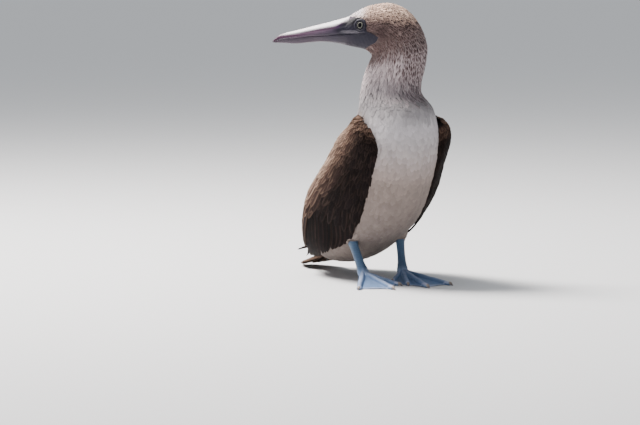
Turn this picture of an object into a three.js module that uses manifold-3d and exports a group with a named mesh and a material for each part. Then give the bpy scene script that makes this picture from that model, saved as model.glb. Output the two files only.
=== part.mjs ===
// A blue-footed booby, life size, standing with its head turned to its right.
// Millimetres, +Z up, the floor at z = 0. The bird faces -Y, and its right side is on -X.
import * as THREE from "three";
import { mergeVertices } from "three/addons/utils/BufferGeometryUtils.js";
import Module from "manifold-3d";

const wasm = await Module();
wasm.setup();

// Driving dimensions.
const GAP = 0.3; // between pieces that touch
const CUTTER_GROWTH = 2 * GAP + 0.1; // added to the width of a shape that is cut from another
const ANKLE_HEIGHT = 17; // the foot joint above the floor, the zero of all body heights
const HEAD_TURN = THREE.MathUtils.degToRad(115); // from straight ahead to the bird's right
const NECK_AXIS = new THREE.Vector2(0, -46.3); // where the neck stands over the feet
const RING_POINTS = 28;
const HEAD_TURN_POINTS = 9; // ring points between the breastbone and the throat
const EYEBALL_RADIUS = 8.5;
const EYE_SINK = 7; // the eyeball's centre under the lids
const HEEL = { x: 38.4, y: 25, z: 64 };
const FOOT_JOINT = { x: 30.7, y: 0, z: 15 };

// Materials.
const paint = (color, roughness) => new THREE.MeshStandardMaterial({ color, roughness, metalness: 0 });
const MATERIALS = {
  headFeather: paint(0xb79f8d, 0.9),
  neckFeather: paint(0xc9bdb6, 0.9),
  whiteFeather: paint(0xe4dfdc, 0.9),
  brownFeather: paint(0x5a4a42, 0.85),
  tailFeather: paint(0x3a302d, 0.8),
  bill: paint(0x6f6470, 0.45),
  foot: paint(0x6f93c4, 0.5),
  claw: paint(0xb9b7b0, 0.4),
  eye: paint(0xc9c06a, 0.1),
};

const v3 = (x, y, z) => new THREE.Vector3(x, y, z);
const deg = THREE.MathUtils.degToRad;

// The value at t of a smooth curve through rows of numbers, one row at each whole t from 0.
function along(rows, t) {
  const last = rows.length - 1;
  const i = Math.min(Math.max(Math.floor(t), 0), last - 1);
  const f = t - i;
  const before = rows[Math.max(i - 1, 0)];
  const after = rows[Math.min(i + 2, last)];
  return rows[i].map((a, k) => {
    const b = rows[i + 1][k];
    const ma = (b - before[k]) / (i > 0 ? 2 : 1);
    const mb = (after[k] - a) / (i + 2 <= last ? 2 : 1);
    if (f < 0) return a + ma * f;
    if (f > 1) return b + mb * (f - 1);
    return (
      a * (2 * f ** 3 - 3 * f ** 2 + 1) +
      ma * (f ** 3 - 2 * f ** 2 + f) +
      b * (3 * f ** 2 - 2 * f ** 3) +
      mb * (f ** 3 - f ** 2)
    );
  });
}

// A geometry's vertices and faces as a solid, turned the right way out.
function solidOf(points, faces) {
  const geometry = new THREE.BufferGeometry().setFromPoints(points).setIndex(faces);
  const merged = mergeVertices(geometry, 1e-4);
  const vertProperties = merged.attributes.position.array;
  const triVerts = new Uint32Array(merged.index.array);
  const made = new wasm.Manifold(new wasm.Mesh({ numProp: 3, vertProperties, triVerts }));
  if (made.volume() > 0) return made;
  for (let i = 0; i < triVerts.length; i += 3) triVerts.subarray(i, i + 3).reverse();
  return new wasm.Manifold(new wasm.Mesh({ numProp: 3, vertProperties, triVerts }));
}

// A closed solid through rings of equally many points, with a fan on each end.
function loft(rings) {
  const n = rings[0].length;
  const points = rings.flat();
  const faces = [];
  for (let i = 0; i + 1 < rings.length; i++)
    for (let j = 0; j < n; j++) {
      const a = i * n + j;
      const b = i * n + ((j + 1) % n);
      faces.push(a, b, a + n, b, b + n, a + n);
    }
  for (const [ring, flip] of [[0, true], [rings.length - 1, false]]) {
    const middle = points.length;
    points.push(rings[ring].reduce((s, p) => s.add(p), v3(0, 0, 0)).divideScalar(n));
    for (let j = 0; j < n; j++) {
      const a = ring * n + j;
      const b = ring * n + ((j + 1) % n);
      faces.push(...(flip ? [b, a, middle] : [a, b, middle]));
    }
  }
  return solidOf(points, faces);
}

// A thin plate whose two faces are split alike: rows of points on top, and the same rows under them.
function plate(top, under) {
  const n = top[0].length;
  const last = top.length - 1;
  const below = top.length * n;
  const faces = [];
  const quad = (a, b, c, d) => faces.push(a, b, c, a, c, d);
  for (let i = 0; i < last; i++)
    for (let j = 0; j + 1 < n; j++) {
      const a = i * n + j;
      faces.push(a, a + 1, a + n + 1, a, a + n + 1, a + n);
      faces.push(below + a, below + a + n + 1, below + a + 1);
      faces.push(below + a, below + a + n, below + a + n + 1);
    }
  for (let i = 0; i < last; i++) {
    const inner = i * n;
    const outer = i * n + n - 1;
    quad(inner, inner + n, below + inner + n, below + inner);
    quad(outer + n, outer, below + outer, below + outer + n);
  }
  for (let j = 0; j + 1 < n; j++) {
    const end = last * n + j;
    quad(j + 1, j, below + j, below + j + 1);
    quad(end, end + 1, below + end + 1, below + end);
  }
  return solidOf([...top.flat(), ...under.flat()], faces);
}

// An elliptical tube along stations { at, wide, deep }, with its width lying along side.
function tube(stations, side, count) {
  const rings = stations.map(({ at, wide, deep }, i) => {
    const next = stations[Math.min(i + 1, stations.length - 1)].at;
    const before = stations[Math.max(i - 1, 0)].at;
    const run = next.clone().sub(before).normalize();
    const across = side.clone().addScaledVector(run, -side.dot(run)).normalize();
    const up = across.clone().cross(run);
    return Array.from({ length: count }, (_, j) => {
      const turn = (2 * Math.PI * j) / count;
      return at
        .clone()
        .addScaledVector(across, (Math.cos(turn) * wide) / 2)
        .addScaledVector(up, (Math.sin(turn) * deep) / 2);
    });
  });
  return loft(rings);
}

const fuse = (solids) => wasm.Manifold.union(solids);
const largest = (solid) => solid.decompose().sort((a, b) => b.volume() - a.volume())[0];
const mirrored = (solid) => solid.mirror([1, 0, 0]);

// What is left of a solid on the side of a plane that its normal points to.
function trim(solid, normal, point, clearance = 0) {
  const n = normal.clone().normalize();
  return solid.trimByPlane(n.toArray(), n.dot(point) + clearance);
}

function sphere(centre, radius, columns, rows) {
  const geometry = new THREE.SphereGeometry(radius, columns, rows);
  geometry.rotateX(Math.PI / 2).translate(centre.x, centre.y, centre.z);
  geometry.deleteAttribute("normal");
  geometry.deleteAttribute("uv");
  const merged = mergeVertices(geometry, 1e-4);
  return new wasm.Manifold(
    new wasm.Mesh({
      numProp: 3,
      vertProperties: merged.attributes.position.array,
      triVerts: new Uint32Array(merged.index.array),
    }),
  );
}

// The torso's sections from the neck's root to the rump: centre y and z, half width and half depth.
const TORSO = [
  [-40, 229, 51, 51],
  [-39, 191, 60, 62],
  [-18, 149, 64, 66],
  [10, 111, 65, 66],
  [47, 83, 63, 60],
  [86, 56, 57, 51],
  [121, 34, 45, 36],
  [152, 20, 31, 21],
  [178, 12, 17, 9],
];
const TORSO_END = TORSO.length - 1;

// A point over the torso at section t, at turn round it from the breastbone to the right, at height h.
function bodyPoint(t, turn, h = 0) {
  const [y, z, wide, deep] = along(TORSO, t);
  const step = 0.05;
  const [ya, za] = along(TORSO, t - step);
  const [yb, zb] = along(TORSO, t + step);
  const run = new THREE.Vector2(yb - ya, zb - za).normalize();
  const out = -Math.cos(turn) * (deep + h);
  return v3(-Math.sin(turn) * (wide + h), y - run.y * out, ANKLE_HEIGHT + z + run.x * out);
}

// The head's own axes: forward along the bill, and to the side that faces away from the breast.
const FORWARD = v3(-Math.sin(HEAD_TURN), -Math.cos(HEAD_TURN), 0);
const FAR_SIDE = v3(-FORWARD.y, FORWARD.x, 0).negate();

// A point in the head's axes: forward of the neck's axis, above the ankles, and to the far side.
function headPoint(forward, height, side = 0) {
  return v3(NECK_AXIS.x, NECK_AXIS.y, ANKLE_HEIGHT + height)
    .addScaledVector(FORWARD, forward)
    .addScaledVector(FAR_SIDE, side);
}

// Sections from the neck to the bill's tip, fanned round the throat: the throat side's forward and height,
// the nape or crown side's forward and height, half width, and shift to the far side.
const HEAD = [
  [52, 247, -33, 249, 38, 15],
  [48.5, 266, -33, 266, 35.5, 16],
  [43.6, 282.8, -36.8, 282.8, 34.5, 11],
  [39.1, 293.3, -39.3, 298.9, 33.5, 5],
  [36.3, 299.2, -40.1, 313.6, 33, 1],
  [36, 302.1, -35.8, 330.4, 32, 0],
  [37.1, 304.4, -26, 350, 31, 0],
  [39.1, 306.6, -10.6, 365.8, 30, 0],
  [41.9, 308.6, 9.7, 373.9, 28.5, 0],
  [46.1, 310.5, 28.6, 372.7, 26.5, 0],
  [51.7, 312.2, 44, 368.9, 24, 0],
  [58.7, 313.6, 55.2, 363.3, 20.5, 0],
  [65.7, 315, 64.3, 358.4, 17.5, 0],
  [72.7, 316.8, 72.7, 354.2, 15, 0],
  [82.5, 318.9, 82.5, 351.4, 12.5, 0],
  [95.1, 320.7, 95.1, 347.9, 10.3, 0],
  [109.1, 321.2, 109.1, 344.4, 8.6, 0],
  [124.5, 320, 124.5, 340.6, 7.2, 0],
  [139.9, 318.6, 139.9, 336.7, 5.9, 0],
  [153.9, 319.2, 153.9, 333.6, 4.6, 0],
  [163.7, 319.8, 163.7, 330.5, 3.2, 0],
  [170, 320, 170, 325.4, 1.8, 0],
  [172.6, 320.4, 172.6, 322.4, 0.8, 0],
];

function headRing([inF, inZ, outF, outZ, wide, shift]) {
  return Array.from({ length: RING_POINTS }, (_, j) => {
    const turn = (2 * Math.PI * (j - HEAD_TURN_POINTS)) / RING_POINTS;
    const c = (1 + Math.cos(turn)) / 2;
    return headPoint(outF + (inF - outF) * c, outZ + (inZ - outZ) * c, shift + Math.sin(turn) * wide);
  });
}

// The whole body from the rump to the bill's tip as one smooth form, raised by h.
function wholeBody(h = 0) {
  const rings = [];
  for (let t = TORSO_END; t >= 0; t -= 0.5)
    rings.push(
      Array.from({ length: RING_POINTS }, (_, j) => bodyPoint(t, (2 * Math.PI * j) / RING_POINTS, h)),
    );
  for (const row of HEAD) {
    const [inF, inZ, outF, outZ, wide, shift] = row;
    const length = Math.hypot(inF - outF, inZ - outZ);
    const df = ((inF - outF) / length) * h;
    const dz = ((inZ - outZ) / length) * h;
    rings.push(headRing([inF + df, inZ + dz, outF - df, outZ - dz, wide + h, shift]));
  }
  return loft(rings);
}

const body = wholeBody();
const grownBody = wholeBody(GAP + 0.1);

// Cuts that part the body.
const NECK_ROOT = { point: v3(0, 0, ANKLE_HEIGHT + 236), up: v3(0, 0, 1) };
const HEAD_ROOT = { point: headPoint(36, 297), up: FORWARD.clone().multiplyScalar(0.185).setZ(0.983) };
const BILL_ROOT_TOP = [65, 358.4];
const BILL_ROOT_FOOT = [83.9, 319.2];
const TAIL_ROOT = { at: 7.2 };

function cutBetween(solid, plane, upper) {
  const normal = plane.up.clone().multiplyScalar(upper ? 1 : -1);
  return largest(trim(solid, normal, plane.point, GAP / 2));
}

const billPlane = {
  point: headPoint(...BILL_ROOT_TOP),
  up: FORWARD.clone()
    .multiplyScalar(BILL_ROOT_TOP[1] - BILL_ROOT_FOOT[1])
    .setZ(BILL_ROOT_FOOT[0] - BILL_ROOT_TOP[0])
    .normalize(),
};
const tailPlane = (() => {
  const [ya, za] = along(TORSO, TAIL_ROOT.at - 0.05);
  const [yb, zb] = along(TORSO, TAIL_ROOT.at + 0.05);
  const [y, z] = along(TORSO, TAIL_ROOT.at);
  return { point: v3(0, y, ANKLE_HEIGHT + z), up: v3(0, yb - ya, zb - za).normalize() };
})();

// The line of the mouth, from the bill's tip to under the eye: forward and height.
const GAPE = [
  [175.5, 320.2],
  [158.1, 325.5],
  [141.3, 327.5],
  [120.3, 328.7],
  [95.8, 329.8],
  [77.6, 332.2],
  [65.7, 333.2],
  [46.1, 333.9],
];

// A thin sheet along the mouth's line between two distances to the side.
function mouthSheet(rows, inner, outer, thick) {
  const rings = rows.map(([f, z], i) => [
    headPoint(f, z - thick / 2, inner(i)),
    headPoint(f, z - thick / 2, outer),
    headPoint(f, z + thick / 2, outer),
    headPoint(f, z + thick / 2, inner(i)),
  ]);
  return loft(rings);
}

const meshes = [];
function add(name, solid, material) {
  const { vertProperties, triVerts } = largest(solid).getMesh();
  const geometry = new THREE.BufferGeometry();
  geometry.setAttribute("position", new THREE.BufferAttribute(new Float32Array(vertProperties), 3));
  geometry.setIndex(new THREE.BufferAttribute(triVerts, 1));
  geometry.computeVertexNormals();
  const mesh = new THREE.Mesh(geometry, material);
  mesh.name = name;
  meshes.push(mesh);
}

// Head, eyes and bill.
const EYE = { forward: 52.8, height: 344.4, surface: 21.4, lookAhead: 0.41, lookUp: 0.2 };
const eyeOutward = (side) =>
  FAR_SIDE.clone()
    .multiplyScalar(side)
    .addScaledVector(FORWARD, EYE.lookAhead)
    .add(v3(0, 0, EYE.lookUp))
    .normalize();
const eyeCentre = (side) =>
  headPoint(EYE.forward, EYE.height, side * EYE.surface).addScaledVector(eyeOutward(side), -EYE_SINK);

function lidRing(side) {
  const LID_RADIUS = 5.9;
  const LID_THICKNESS = 1.3;
  const geometry = new THREE.TorusGeometry(LID_RADIUS, LID_THICKNESS, 6, 16);
  const outward = eyeOutward(side);
  geometry.applyQuaternion(new THREE.Quaternion().setFromUnitVectors(v3(0, 0, 1), outward));
  const centre = eyeCentre(side).addScaledVector(outward, EYE_SINK - 0.4);
  geometry.translate(centre.x, centre.y, centre.z);
  geometry.deleteAttribute("normal");
  geometry.deleteAttribute("uv");
  const merged = mergeVertices(geometry, 1e-4);
  return new wasm.Manifold(
    new wasm.Mesh({
      numProp: 3,
      vertProperties: merged.attributes.position.array,
      triVerts: new Uint32Array(merged.index.array),
    }),
  );
}

// The mouth's groove on the cheek: the head's half width at the mouth's last places, and its depth.
const CHEEK_WIDTHS = [10.2, 13.6, 16.6, 21.5];
const GROOVE_DEPTH = 1.4;
const EYE_GRID = [18, 12]; // columns and rows of an eyeball

function buildHead() {
  let head = cutBetween(body, HEAD_ROOT, true);
  head = cutBetween(head, billPlane, false);
  head = fuse([head, lidRing(1), lidRing(-1)]);
  for (const side of [1, -1]) {
    head = head.subtract(sphere(eyeCentre(side), EYEBALL_RADIUS + GAP, ...EYE_GRID));
    const inner = (i) => side * (CHEEK_WIDTHS[i] - GROOVE_DEPTH);
    head = head.subtract(mouthSheet(GAPE.slice(4), inner, side * 40, 0.8));
    const ball = sphere(eyeCentre(side), EYEBALL_RADIUS, ...EYE_GRID);
    add(side < 0 ? "eye_left" : "eye_right", ball, MATERIALS.eye);
  }
  add("head", head, MATERIALS.headFeather);
}

function buildBill() {
  const bill = cutBetween(body, billPlane, true);
  const halves = bill.subtract(mouthSheet(GAPE, () => -40, 40, GAP)).decompose();
  halves.sort((a, b) => b.volume() - a.volume());
  const [one, two] = halves;
  const height = (s) => (s.boundingBox().min[2] + s.boundingBox().max[2]) / 2;
  const upperIsFirst = height(one) > height(two);
  add("bill_upper", upperIsFirst ? one : two, MATERIALS.bill);
  add("bill_lower", upperIsFirst ? two : one, MATERIALS.bill);
}

function buildTrunk() {
  add("neck", cutBetween(cutBetween(body, HEAD_ROOT, false), NECK_ROOT, true), MATERIALS.neckFeather);
  const torso = cutBetween(cutBetween(body, NECK_ROOT, false), tailPlane, false);
  add("torso", torso, MATERIALS.whiteFeather);
}

// The right wing's outer surface, folded: sections from the wrist to the tip, each with its upper, middle
// and lower point. Those over the body are given by its section, the turn round it and the height over it.
const onBody = (t, turn, h) => bodyPoint(t, deg(turn), h).toArray();
const WING = [
  [onBody(0.05, 138, -2), onBody(0.12, 87, 10), onBody(0.38, 60, 13)],
  [onBody(0.55, 151, 0), onBody(0.72, 90, 16.5), onBody(1, 52, 14)],
  [onBody(1.2, 156, 7), onBody(1.55, 101, 19), onBody(1.8, 50, 9)],
  [onBody(2.1, 158, 9), onBody(2.5, 104, 23), onBody(2.55, 48.5, 8)],
  [onBody(3, 160, 10), onBody(3.45, 107, 26), onBody(3.25, 45.5, 7)],
  [onBody(4, 162, 10), onBody(4.4, 108, 27), [-49, 20, 57]],
  [onBody(4.9, 163, 9), onBody(5.3, 106, 24), [-55, 60, 40]],
  [onBody(5.8, 164, 7), onBody(6.2, 104, 20), [-48, 105, 27]],
  [[-12, 196, 46], [-37, 182, 38], [-36, 152, 22]],
  [[-8, 230, 26], [-20, 226, 24], [-27, 202, 19.5]],
  [[-5, 257, 14], [-9, 258, 13], [-12, 253, 12]],
].map((section) => section.flat());
const WING_DEPTH = [[15], [17], [17], [16], [14], [11], [8], [6], [4], [2.6], [1.5]];
const WING_CROSSING = { from: 7, to: 10, right: 9, left: -24 };
const WING_LIFT = { from: 6, to: 8.6, lift: 10 }; // the left wing's tip lies over the right one's
const LEFT_TUCK = { from: 4, middle: 6.3, to: 8.5, lift: 14 }; // the left wing's lower edge sits higher

function wingPoint(left, s, t) {
  const [ux, uy, uz, mx, my, mz, lx, ly, lz] = along(WING, s);
  const p = v3(ux, uy, uz)
    .multiplyScalar((1 - t) * (1 - 2 * t))
    .addScaledVector(v3(mx, my, mz), 4 * t * (1 - t))
    .addScaledVector(v3(lx, ly, lz), t * (2 * t - 1));
  const crossed = THREE.MathUtils.smoothstep(s, WING_CROSSING.from, WING_CROSSING.to);
  if (!left) return p.setX(p.x + WING_CROSSING.right * crossed);
  const { from, middle, to, lift } = LEFT_TUCK;
  const tucked = THREE.MathUtils.smoothstep(s, from, middle) - THREE.MathUtils.smoothstep(s, middle, to);
  const lifted = THREE.MathUtils.smoothstep(s, WING_LIFT.from, WING_LIFT.to) * WING_LIFT.lift;
  const rise = lifted + lift * tucked * t * t;
  return p.set(-p.x + WING_CROSSING.left * crossed, p.y, p.z + rise);
}

// A point at height h over the wing's outer surface.
function overWing(left, s, t, h = 0) {
  const e = 0.02;
  const alongRun = wingPoint(left, s + e, t).sub(wingPoint(left, s - e, t));
  const across = wingPoint(left, s, t + e).sub(wingPoint(left, s, t - e));
  const out = alongRun.cross(across).normalize().multiplyScalar(left ? -1 : 1);
  return wingPoint(left, s, t).addScaledVector(out, h);
}

// The outlines of a feather, as places along it and the share of its full width there.
const LONG_FEATHER = [[0, 0.75], [0.45, 1], [0.85, 0.8], [1, 0.14]];
const SHORT_FEATHER = [[0, 0.8], [0.72, 1], [1, 0.3]];
const FEATHER_TILT = 0.45;
const THINNING = 0.35; // the share of its thickness a feather loses from root to tip

// A feather over the wing: from its root to its tip as section and place across, with its full width, its
// thickness, its height over the surface at both ends, and how much its lower edge is raised.
function wingFeather(left, feather) {
  const { root, tip, width, thick, rise, tilt = FEATHER_TILT, outline = LONG_FEATHER } = feather;
  const { under = () => 0 } = feather;
  const top = [];
  const below = [];
  outline.forEach(([k, wide]) => {
    const s = THREE.MathUtils.lerp(root[0], tip[0], k);
    const t = THREE.MathUtils.lerp(root[1], tip[1], k);
    const e = 0.02;
    const span = wingPoint(left, s, t + e).distanceTo(wingPoint(left, s, t - e)) / (2 * e);
    const half = (width * wide) / 2 / span;
    const h = THREE.MathUtils.lerp(rise[0], rise[1], k) - under(s);
    const thin = thick * (1 - THINNING * k);
    top.push([overWing(left, s, t - half, h - tilt), overWing(left, s, t + half, h + tilt)]);
    below.push([
      overWing(left, s, t - half, h - tilt - thin),
      overWing(left, s, t + half, h + tilt - thin),
    ]);
  });
  return plate(top, below);
}

// A row of feathers whose roots and tips run evenly between the first and the last.
function featherRow(left, { count, first, last, ...common }) {
  const RAGGED = 0.05;
  return Array.from({ length: count }, (_, i) => {
    const f = i / (count - 1);
    const mix = (a, b) => a.map((v, k) => THREE.MathUtils.lerp(v, b[k], f));
    const ragged = i % 2 ? RAGGED : -RAGGED;
    const tip = mix(first.tip, last.tip);
    return wingFeather(left, {
      ...common,
      root: mix(first.root, last.root),
      tip: [tip[0] + ragged, tip[1]],
      width: THREE.MathUtils.lerp(first.width, last.width, f),
    });
  });
}

// Two rows of coverts, the secondaries and the tertials, each from its first feather to its last.
const COVERT = { thick: 3, rise: [-1.4, 1.4], outline: SHORT_FEATHER };
const QUILL = { thick: 1.6, rise: [-1, 1.8] };
const FEATHER_ROWS = [
  {
    ...COVERT,
    count: 5,
    first: { root: [0.9, 0.17], tip: [2.2, 0.19], width: 28 },
    last: { root: [0.9, 0.84], tip: [2.3, 0.92], width: 26 },
  },
  {
    ...COVERT,
    count: 6,
    first: { root: [2, 0.15], tip: [3.5, 0.18], width: 28 },
    last: { root: [2, 0.86], tip: [3.6, 0.96], width: 22 },
  },
  {
    ...QUILL,
    count: 7,
    first: { root: [5, 0.42], tip: [8.2, 0.9], width: 19 },
    last: { root: [3.1, 0.93], tip: [5.1, 1], width: 17 },
  },
  {
    ...QUILL,
    count: 3,
    first: { root: [3.4, 0.09], tip: [7.4, 0.1], width: 24 },
    last: { root: [3.6, 0.36], tip: [7.3, 0.6], width: 24 },
  },
];

const PRIMARY_COUNT = 5;
const PRIMARY_SPACING = 1.2; // between the layers of the folded primaries
const PRIMARY_TIPS = [7.7, 9.95]; // the sections where the shortest and the longest end
const primaryTip = (j) => THREE.MathUtils.lerp(...PRIMARY_TIPS, j / (PRIMARY_COUNT - 1));

// How deep under the wing's surface the primary j lies at section s: under each one that is still over it.
function primaryDepth(j, s) {
  let layers = 0;
  for (let i = 0; i < j; i++) {
    const tip = primaryTip(i);
    layers += 1 - THREE.MathUtils.smoothstep(s, tip - 0.2, tip + 0.5);
  }
  return 0.9 + PRIMARY_SPACING * layers;
}

function wingFeathers(left) {
  const primaries = Array.from({ length: PRIMARY_COUNT }, (_, j) => {
    const f = j / (PRIMARY_COUNT - 1);
    return wingFeather(left, {
      root: [5.1, 0.22 + 0.66 * f],
      tip: [primaryTip(j), 0.3 + 0.3 * f],
      width: 17 - 3 * f,
      thick: 0.8,
      rise: [0, 0],
      tilt: 0,
      under: (s) => primaryDepth(j, s),
    });
  });
  return [...FEATHER_ROWS.flatMap((row) => featherRow(left, row)), ...primaries];
}

function buildWing(left) {
  const CORE_START = 0.15;
  const CORE_END = 6;
  const STEPS = 8;
  const rings = [];
  for (let i = 0; i <= STEPS; i++) {
    const s = THREE.MathUtils.lerp(CORE_START, CORE_END, i / STEPS);
    const rounding = 0.2 * (1 - THREE.MathUtils.smoothstep(s, CORE_START, 1.6));
    const inset = (t) => rounding + (1 - rounding) * t;
    const sunk = 3.5 * THREE.MathUtils.smoothstep(s, 4.6, CORE_END);
    const depth = along(WING_DEPTH, s)[0] + sunk * 0.2;
    const outer = [0, 0.16, 0.36, 0.6, 0.83, 1];
    const inner = [0.94, 0.66, 0.33, 0.06];
    rings.push([
      ...outer.map((t) => overWing(left, s, inset(t), -sunk - depth * 0.3 * (2 * t - 1) ** 4)),
      ...inner.map((t) => overWing(left, s, inset(t), -depth)),
    ]);
  }
  const thigh = thighShape(CUTTER_GROWTH);
  const whole = fuse([loft(rings), ...wingFeathers(left)]);
  const wing = whole.subtract(fuse([grownBody, left ? mirrored(thigh) : thigh]));
  add(left ? "wing_left" : "wing_right", wing, MATERIALS.brownFeather);
}

// The tail: a stub from the rump, and pairs of feathers whose middle pair touches the floor.
const TAIL_ROOT_TOP = v3(0, 168, 29);
const TAIL_TIP = v3(0, 258, 0.6);
const TAIL_PAIRS = 5;
const TAIL_SPACING = 1.4; // between the layers

function buildTail() {
  const stub = cutBetween(body, tailPlane, true);
  const slope = (TAIL_TIP.z - TAIL_ROOT_TOP.z) / (TAIL_TIP.y - TAIL_ROOT_TOP.y);
  const feathers = [];
  for (let i = 0; i < TAIL_PAIRS; i++)
    for (const side of [1, -1]) {
      const length = 90 - 11 * i - (side > 0 && i === 0 ? 3 : 0);
      const layer = i === 0 && side > 0 ? -1 : i;
      const spread = deg(1 + 4.2 * i) * side;
      const top = [];
      const below = [];
      LONG_FEATHER.forEach(([k, wide]) => {
        const reach = length * k;
        const half = 8.5 * wide;
        const x = side * (3 + 1.6 * i) + Math.sin(spread) * reach;
        const y = TAIL_ROOT_TOP.y + Math.cos(spread) * reach;
        const z = TAIL_ROOT_TOP.z + slope * (y - TAIL_ROOT_TOP.y) - layer * TAIL_SPACING;
        const thin = 1 - THINNING * k;
        const edges = [-half, half].map((w) => v3(x + w, y, z));
        top.push(edges);
        below.push(edges.map((p) => p.clone().setZ(p.z - thin)));
      });
      feathers.push(plate(top, below));
    }
  const tail = fuse([stub, ...feathers]);
  add("tail", trim(tail, v3(0, 0, 1), v3(0, 0, 0)), MATERIALS.tailFeather);
}

// Legs and feet. Each toe has its direction from straight ahead, outward positive, its length with the
// claw, its claw's length and its thickness; the inner front toe of the left foot points further ahead.
const TOE_SETS = {
  right: [
    { name: "hind", turn: -60, length: 30, claw: 6, thick: 7 },
    { name: "inner", turn: -30, length: 66, claw: 8, thick: 7.5 },
    { name: "middle", turn: -1, length: 98, claw: 10, thick: 8 },
    { name: "outer", turn: 30, length: 91, claw: 8, thick: 7.5 },
  ],
  left: [
    { name: "hind", turn: -60, length: 30, claw: 6, thick: 7 },
    { name: "inner", turn: -19, length: 66, claw: 8, thick: 7.5 },
    { name: "middle", turn: -4, length: 98, claw: 10, thick: 8 },
    { name: "outer", turn: 24, length: 91, claw: 8, thick: 7.5 },
  ],
};
const TOE_END_HEIGHT = 2.3; // the toe's middle where the claw starts
const WEB_THICKNESS = 1.3;
const WEB_REACH = 0.985; // of the toes' length

// Built for the right foot and mirrored for the left.
const footJoint = () => v3(-FOOT_JOINT.x, FOOT_JOINT.y, FOOT_JOINT.z);
const toeDirection = (turn) => v3(-Math.sin(deg(turn)), -Math.cos(deg(turn)), 0);

function toePoint(toe, k) {
  const reach = (toe.length - toe.claw) * k;
  const drop = (FOOT_JOINT.z - TOE_END_HEIGHT) * Math.pow(THREE.MathUtils.clamp(k, 0, 1), 0.85);
  return footJoint().addScaledVector(toeDirection(toe.turn), reach).add(v3(0, 0, -drop));
}

function webPlate(toes) {
  const SPOKES = 4;
  const rows = [0.06, 0.35, 0.7, 1];
  const spokes = [];
  toes.forEach((toe, i) => {
    spokes.push({ a: toe, b: toe, f: 0 });
    const next = toes[i + 1];
    if (next) for (let q = 1; q < SPOKES; q++) spokes.push({ a: toe, b: next, f: q / SPOKES });
  });
  const top = spokes.map(({ a, b, f }) =>
    rows.map((k) => {
      const scallop = 1 - 0.14 * 4 * f * (1 - f) * k;
      const turn = a.turn + (b.turn - a.turn) * f;
      const toward = THREE.MathUtils.smoothstep(f, 0, 1);
      const full = THREE.MathUtils.lerp(a.length - a.claw, b.length - b.claw, toward);
      const reach = full * k * scallop * WEB_REACH;
      const sag = 2.2 * 4 * f * (1 - f) * k * (1 - 0.8 * k);
      const height = FOOT_JOINT.z - (FOOT_JOINT.z - TOE_END_HEIGHT + 0.6) * Math.pow(k, 0.85) - sag;
      return v3(-FOOT_JOINT.x, FOOT_JOINT.y, Math.max(height, 0.4 + WEB_THICKNESS)).addScaledVector(
        toeDirection(turn),
        reach,
      );
    }),
  );
  const under = top.map((row) => row.map((p) => p.clone().setZ(p.z - WEB_THICKNESS)));
  return plate(top, under);
}

const LEG_AXIS = v3(-HEEL.x, HEEL.y, HEEL.z).sub(footJoint()).normalize();
const LEG_FOOT_CUT = 9; // up the leg from the joint
const LEG_TOP_CUT = 5; // down the leg from the heel
const LEG_TOP = v3(-HEEL.x, HEEL.y, HEEL.z).addScaledVector(LEG_AXIS, -LEG_TOP_CUT);

// The feathered thigh where it comes out of the belly, on the right side, thickened by h.
function thighShape(h = 0) {
  return tube(
    [
      { at: v3(-32, 12, 96), wide: 30 + h, deep: 46 + h },
      { at: v3(-34, 17, 80), wide: 29 + h, deep: 40 + h },
      { at: v3(-36.5, 21, 69), wide: 25 + h, deep: 31 + h },
      { at: LEG_TOP.clone().addScaledVector(LEG_AXIS, -1), wide: 17 + h, deep: 20 + h },
      { at: LEG_TOP.clone().addScaledVector(LEG_AXIS, -4 - h), wide: 13.5 + h, deep: 15.5 + h },
    ],
    v3(1, 0, 0),
    14,
  );
}

// The leg's sections: how far from the foot joint to the heel, width and depth.
const LEG_SECTIONS = [
  [0, 17, 17],
  [0.1, 14.5, 15.5],
  [0.22, 12, 13.5],
  [0.45, 11, 13],
  [0.7, 11.5, 13.5],
  [0.9, 14, 16],
  [1.08, 13, 15],
];
const LEG_FOOT = { at: -0.1, height: 9, wide: 13, deep: 15 }; // the leg's end inside the foot

function legShape() {
  const heel = v3(-HEEL.x, HEEL.y, HEEL.z);
  const at = (k) => footJoint().lerp(heel, k);
  const foot = { at: at(LEG_FOOT.at).setZ(LEG_FOOT.height), wide: LEG_FOOT.wide, deep: LEG_FOOT.deep };
  const sections = LEG_SECTIONS.map(([k, wide, deep]) => ({ at: at(k), wide, deep }));
  return tube([foot, ...sections], v3(1, 0, 0), 12);
}

// A claw on the floor, curved down, thickened by h. It starts inside the toe.
function clawShape(toe, h = 0) {
  const ahead = toeDirection(toe.turn);
  const base = toePoint(toe, 1);
  const stations = [-0.3, 0, 0.3, 0.6, 0.85, 1].map((k) => {
    const out = Math.max(k, 0);
    const lift = 1.3 * Math.sin(Math.PI * Math.min(out * 1.25, 1)) - 2.2 * out * out;
    const at = base.clone().addScaledVector(ahead, toe.claw * k).setZ(base.z + lift);
    const size = toe.thick * 0.5 * (1 - out ** 1.6) + 0.8 + h;
    return { at, wide: size, deep: size * 1.15 };
  });
  return tube(stations, v3(0, 0, 1).cross(ahead), 8);
}

// The part of a shape beyond the toe's end.
const beyondToe = (toe, shape, clearance = 0) =>
  trim(shape, toeDirection(toe.turn), toePoint(toe, 1), clearance);

// A toe's sections: how far along it, and its swelling there.
const TOE_SECTIONS = [[-0.04, 1.15], [0.2, 1.02], [0.35, 1.12], [0.6, 0.92], [0.66, 1.06], [1.03, 0.86]];

function toeShape(toe) {
  const stations = TOE_SECTIONS.map(([k, swell]) => {
    const size = toe.thick * swell * (1 - 0.12 * k);
    return { at: toePoint(toe, k), wide: size, deep: size * 0.86 };
  });
  const direction = toeDirection(toe.turn);
  const whole = tube(stations, v3(0, 0, 1).cross(direction), 8);
  return trim(whole, direction.negate(), toePoint(toe, 1));
}

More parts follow.
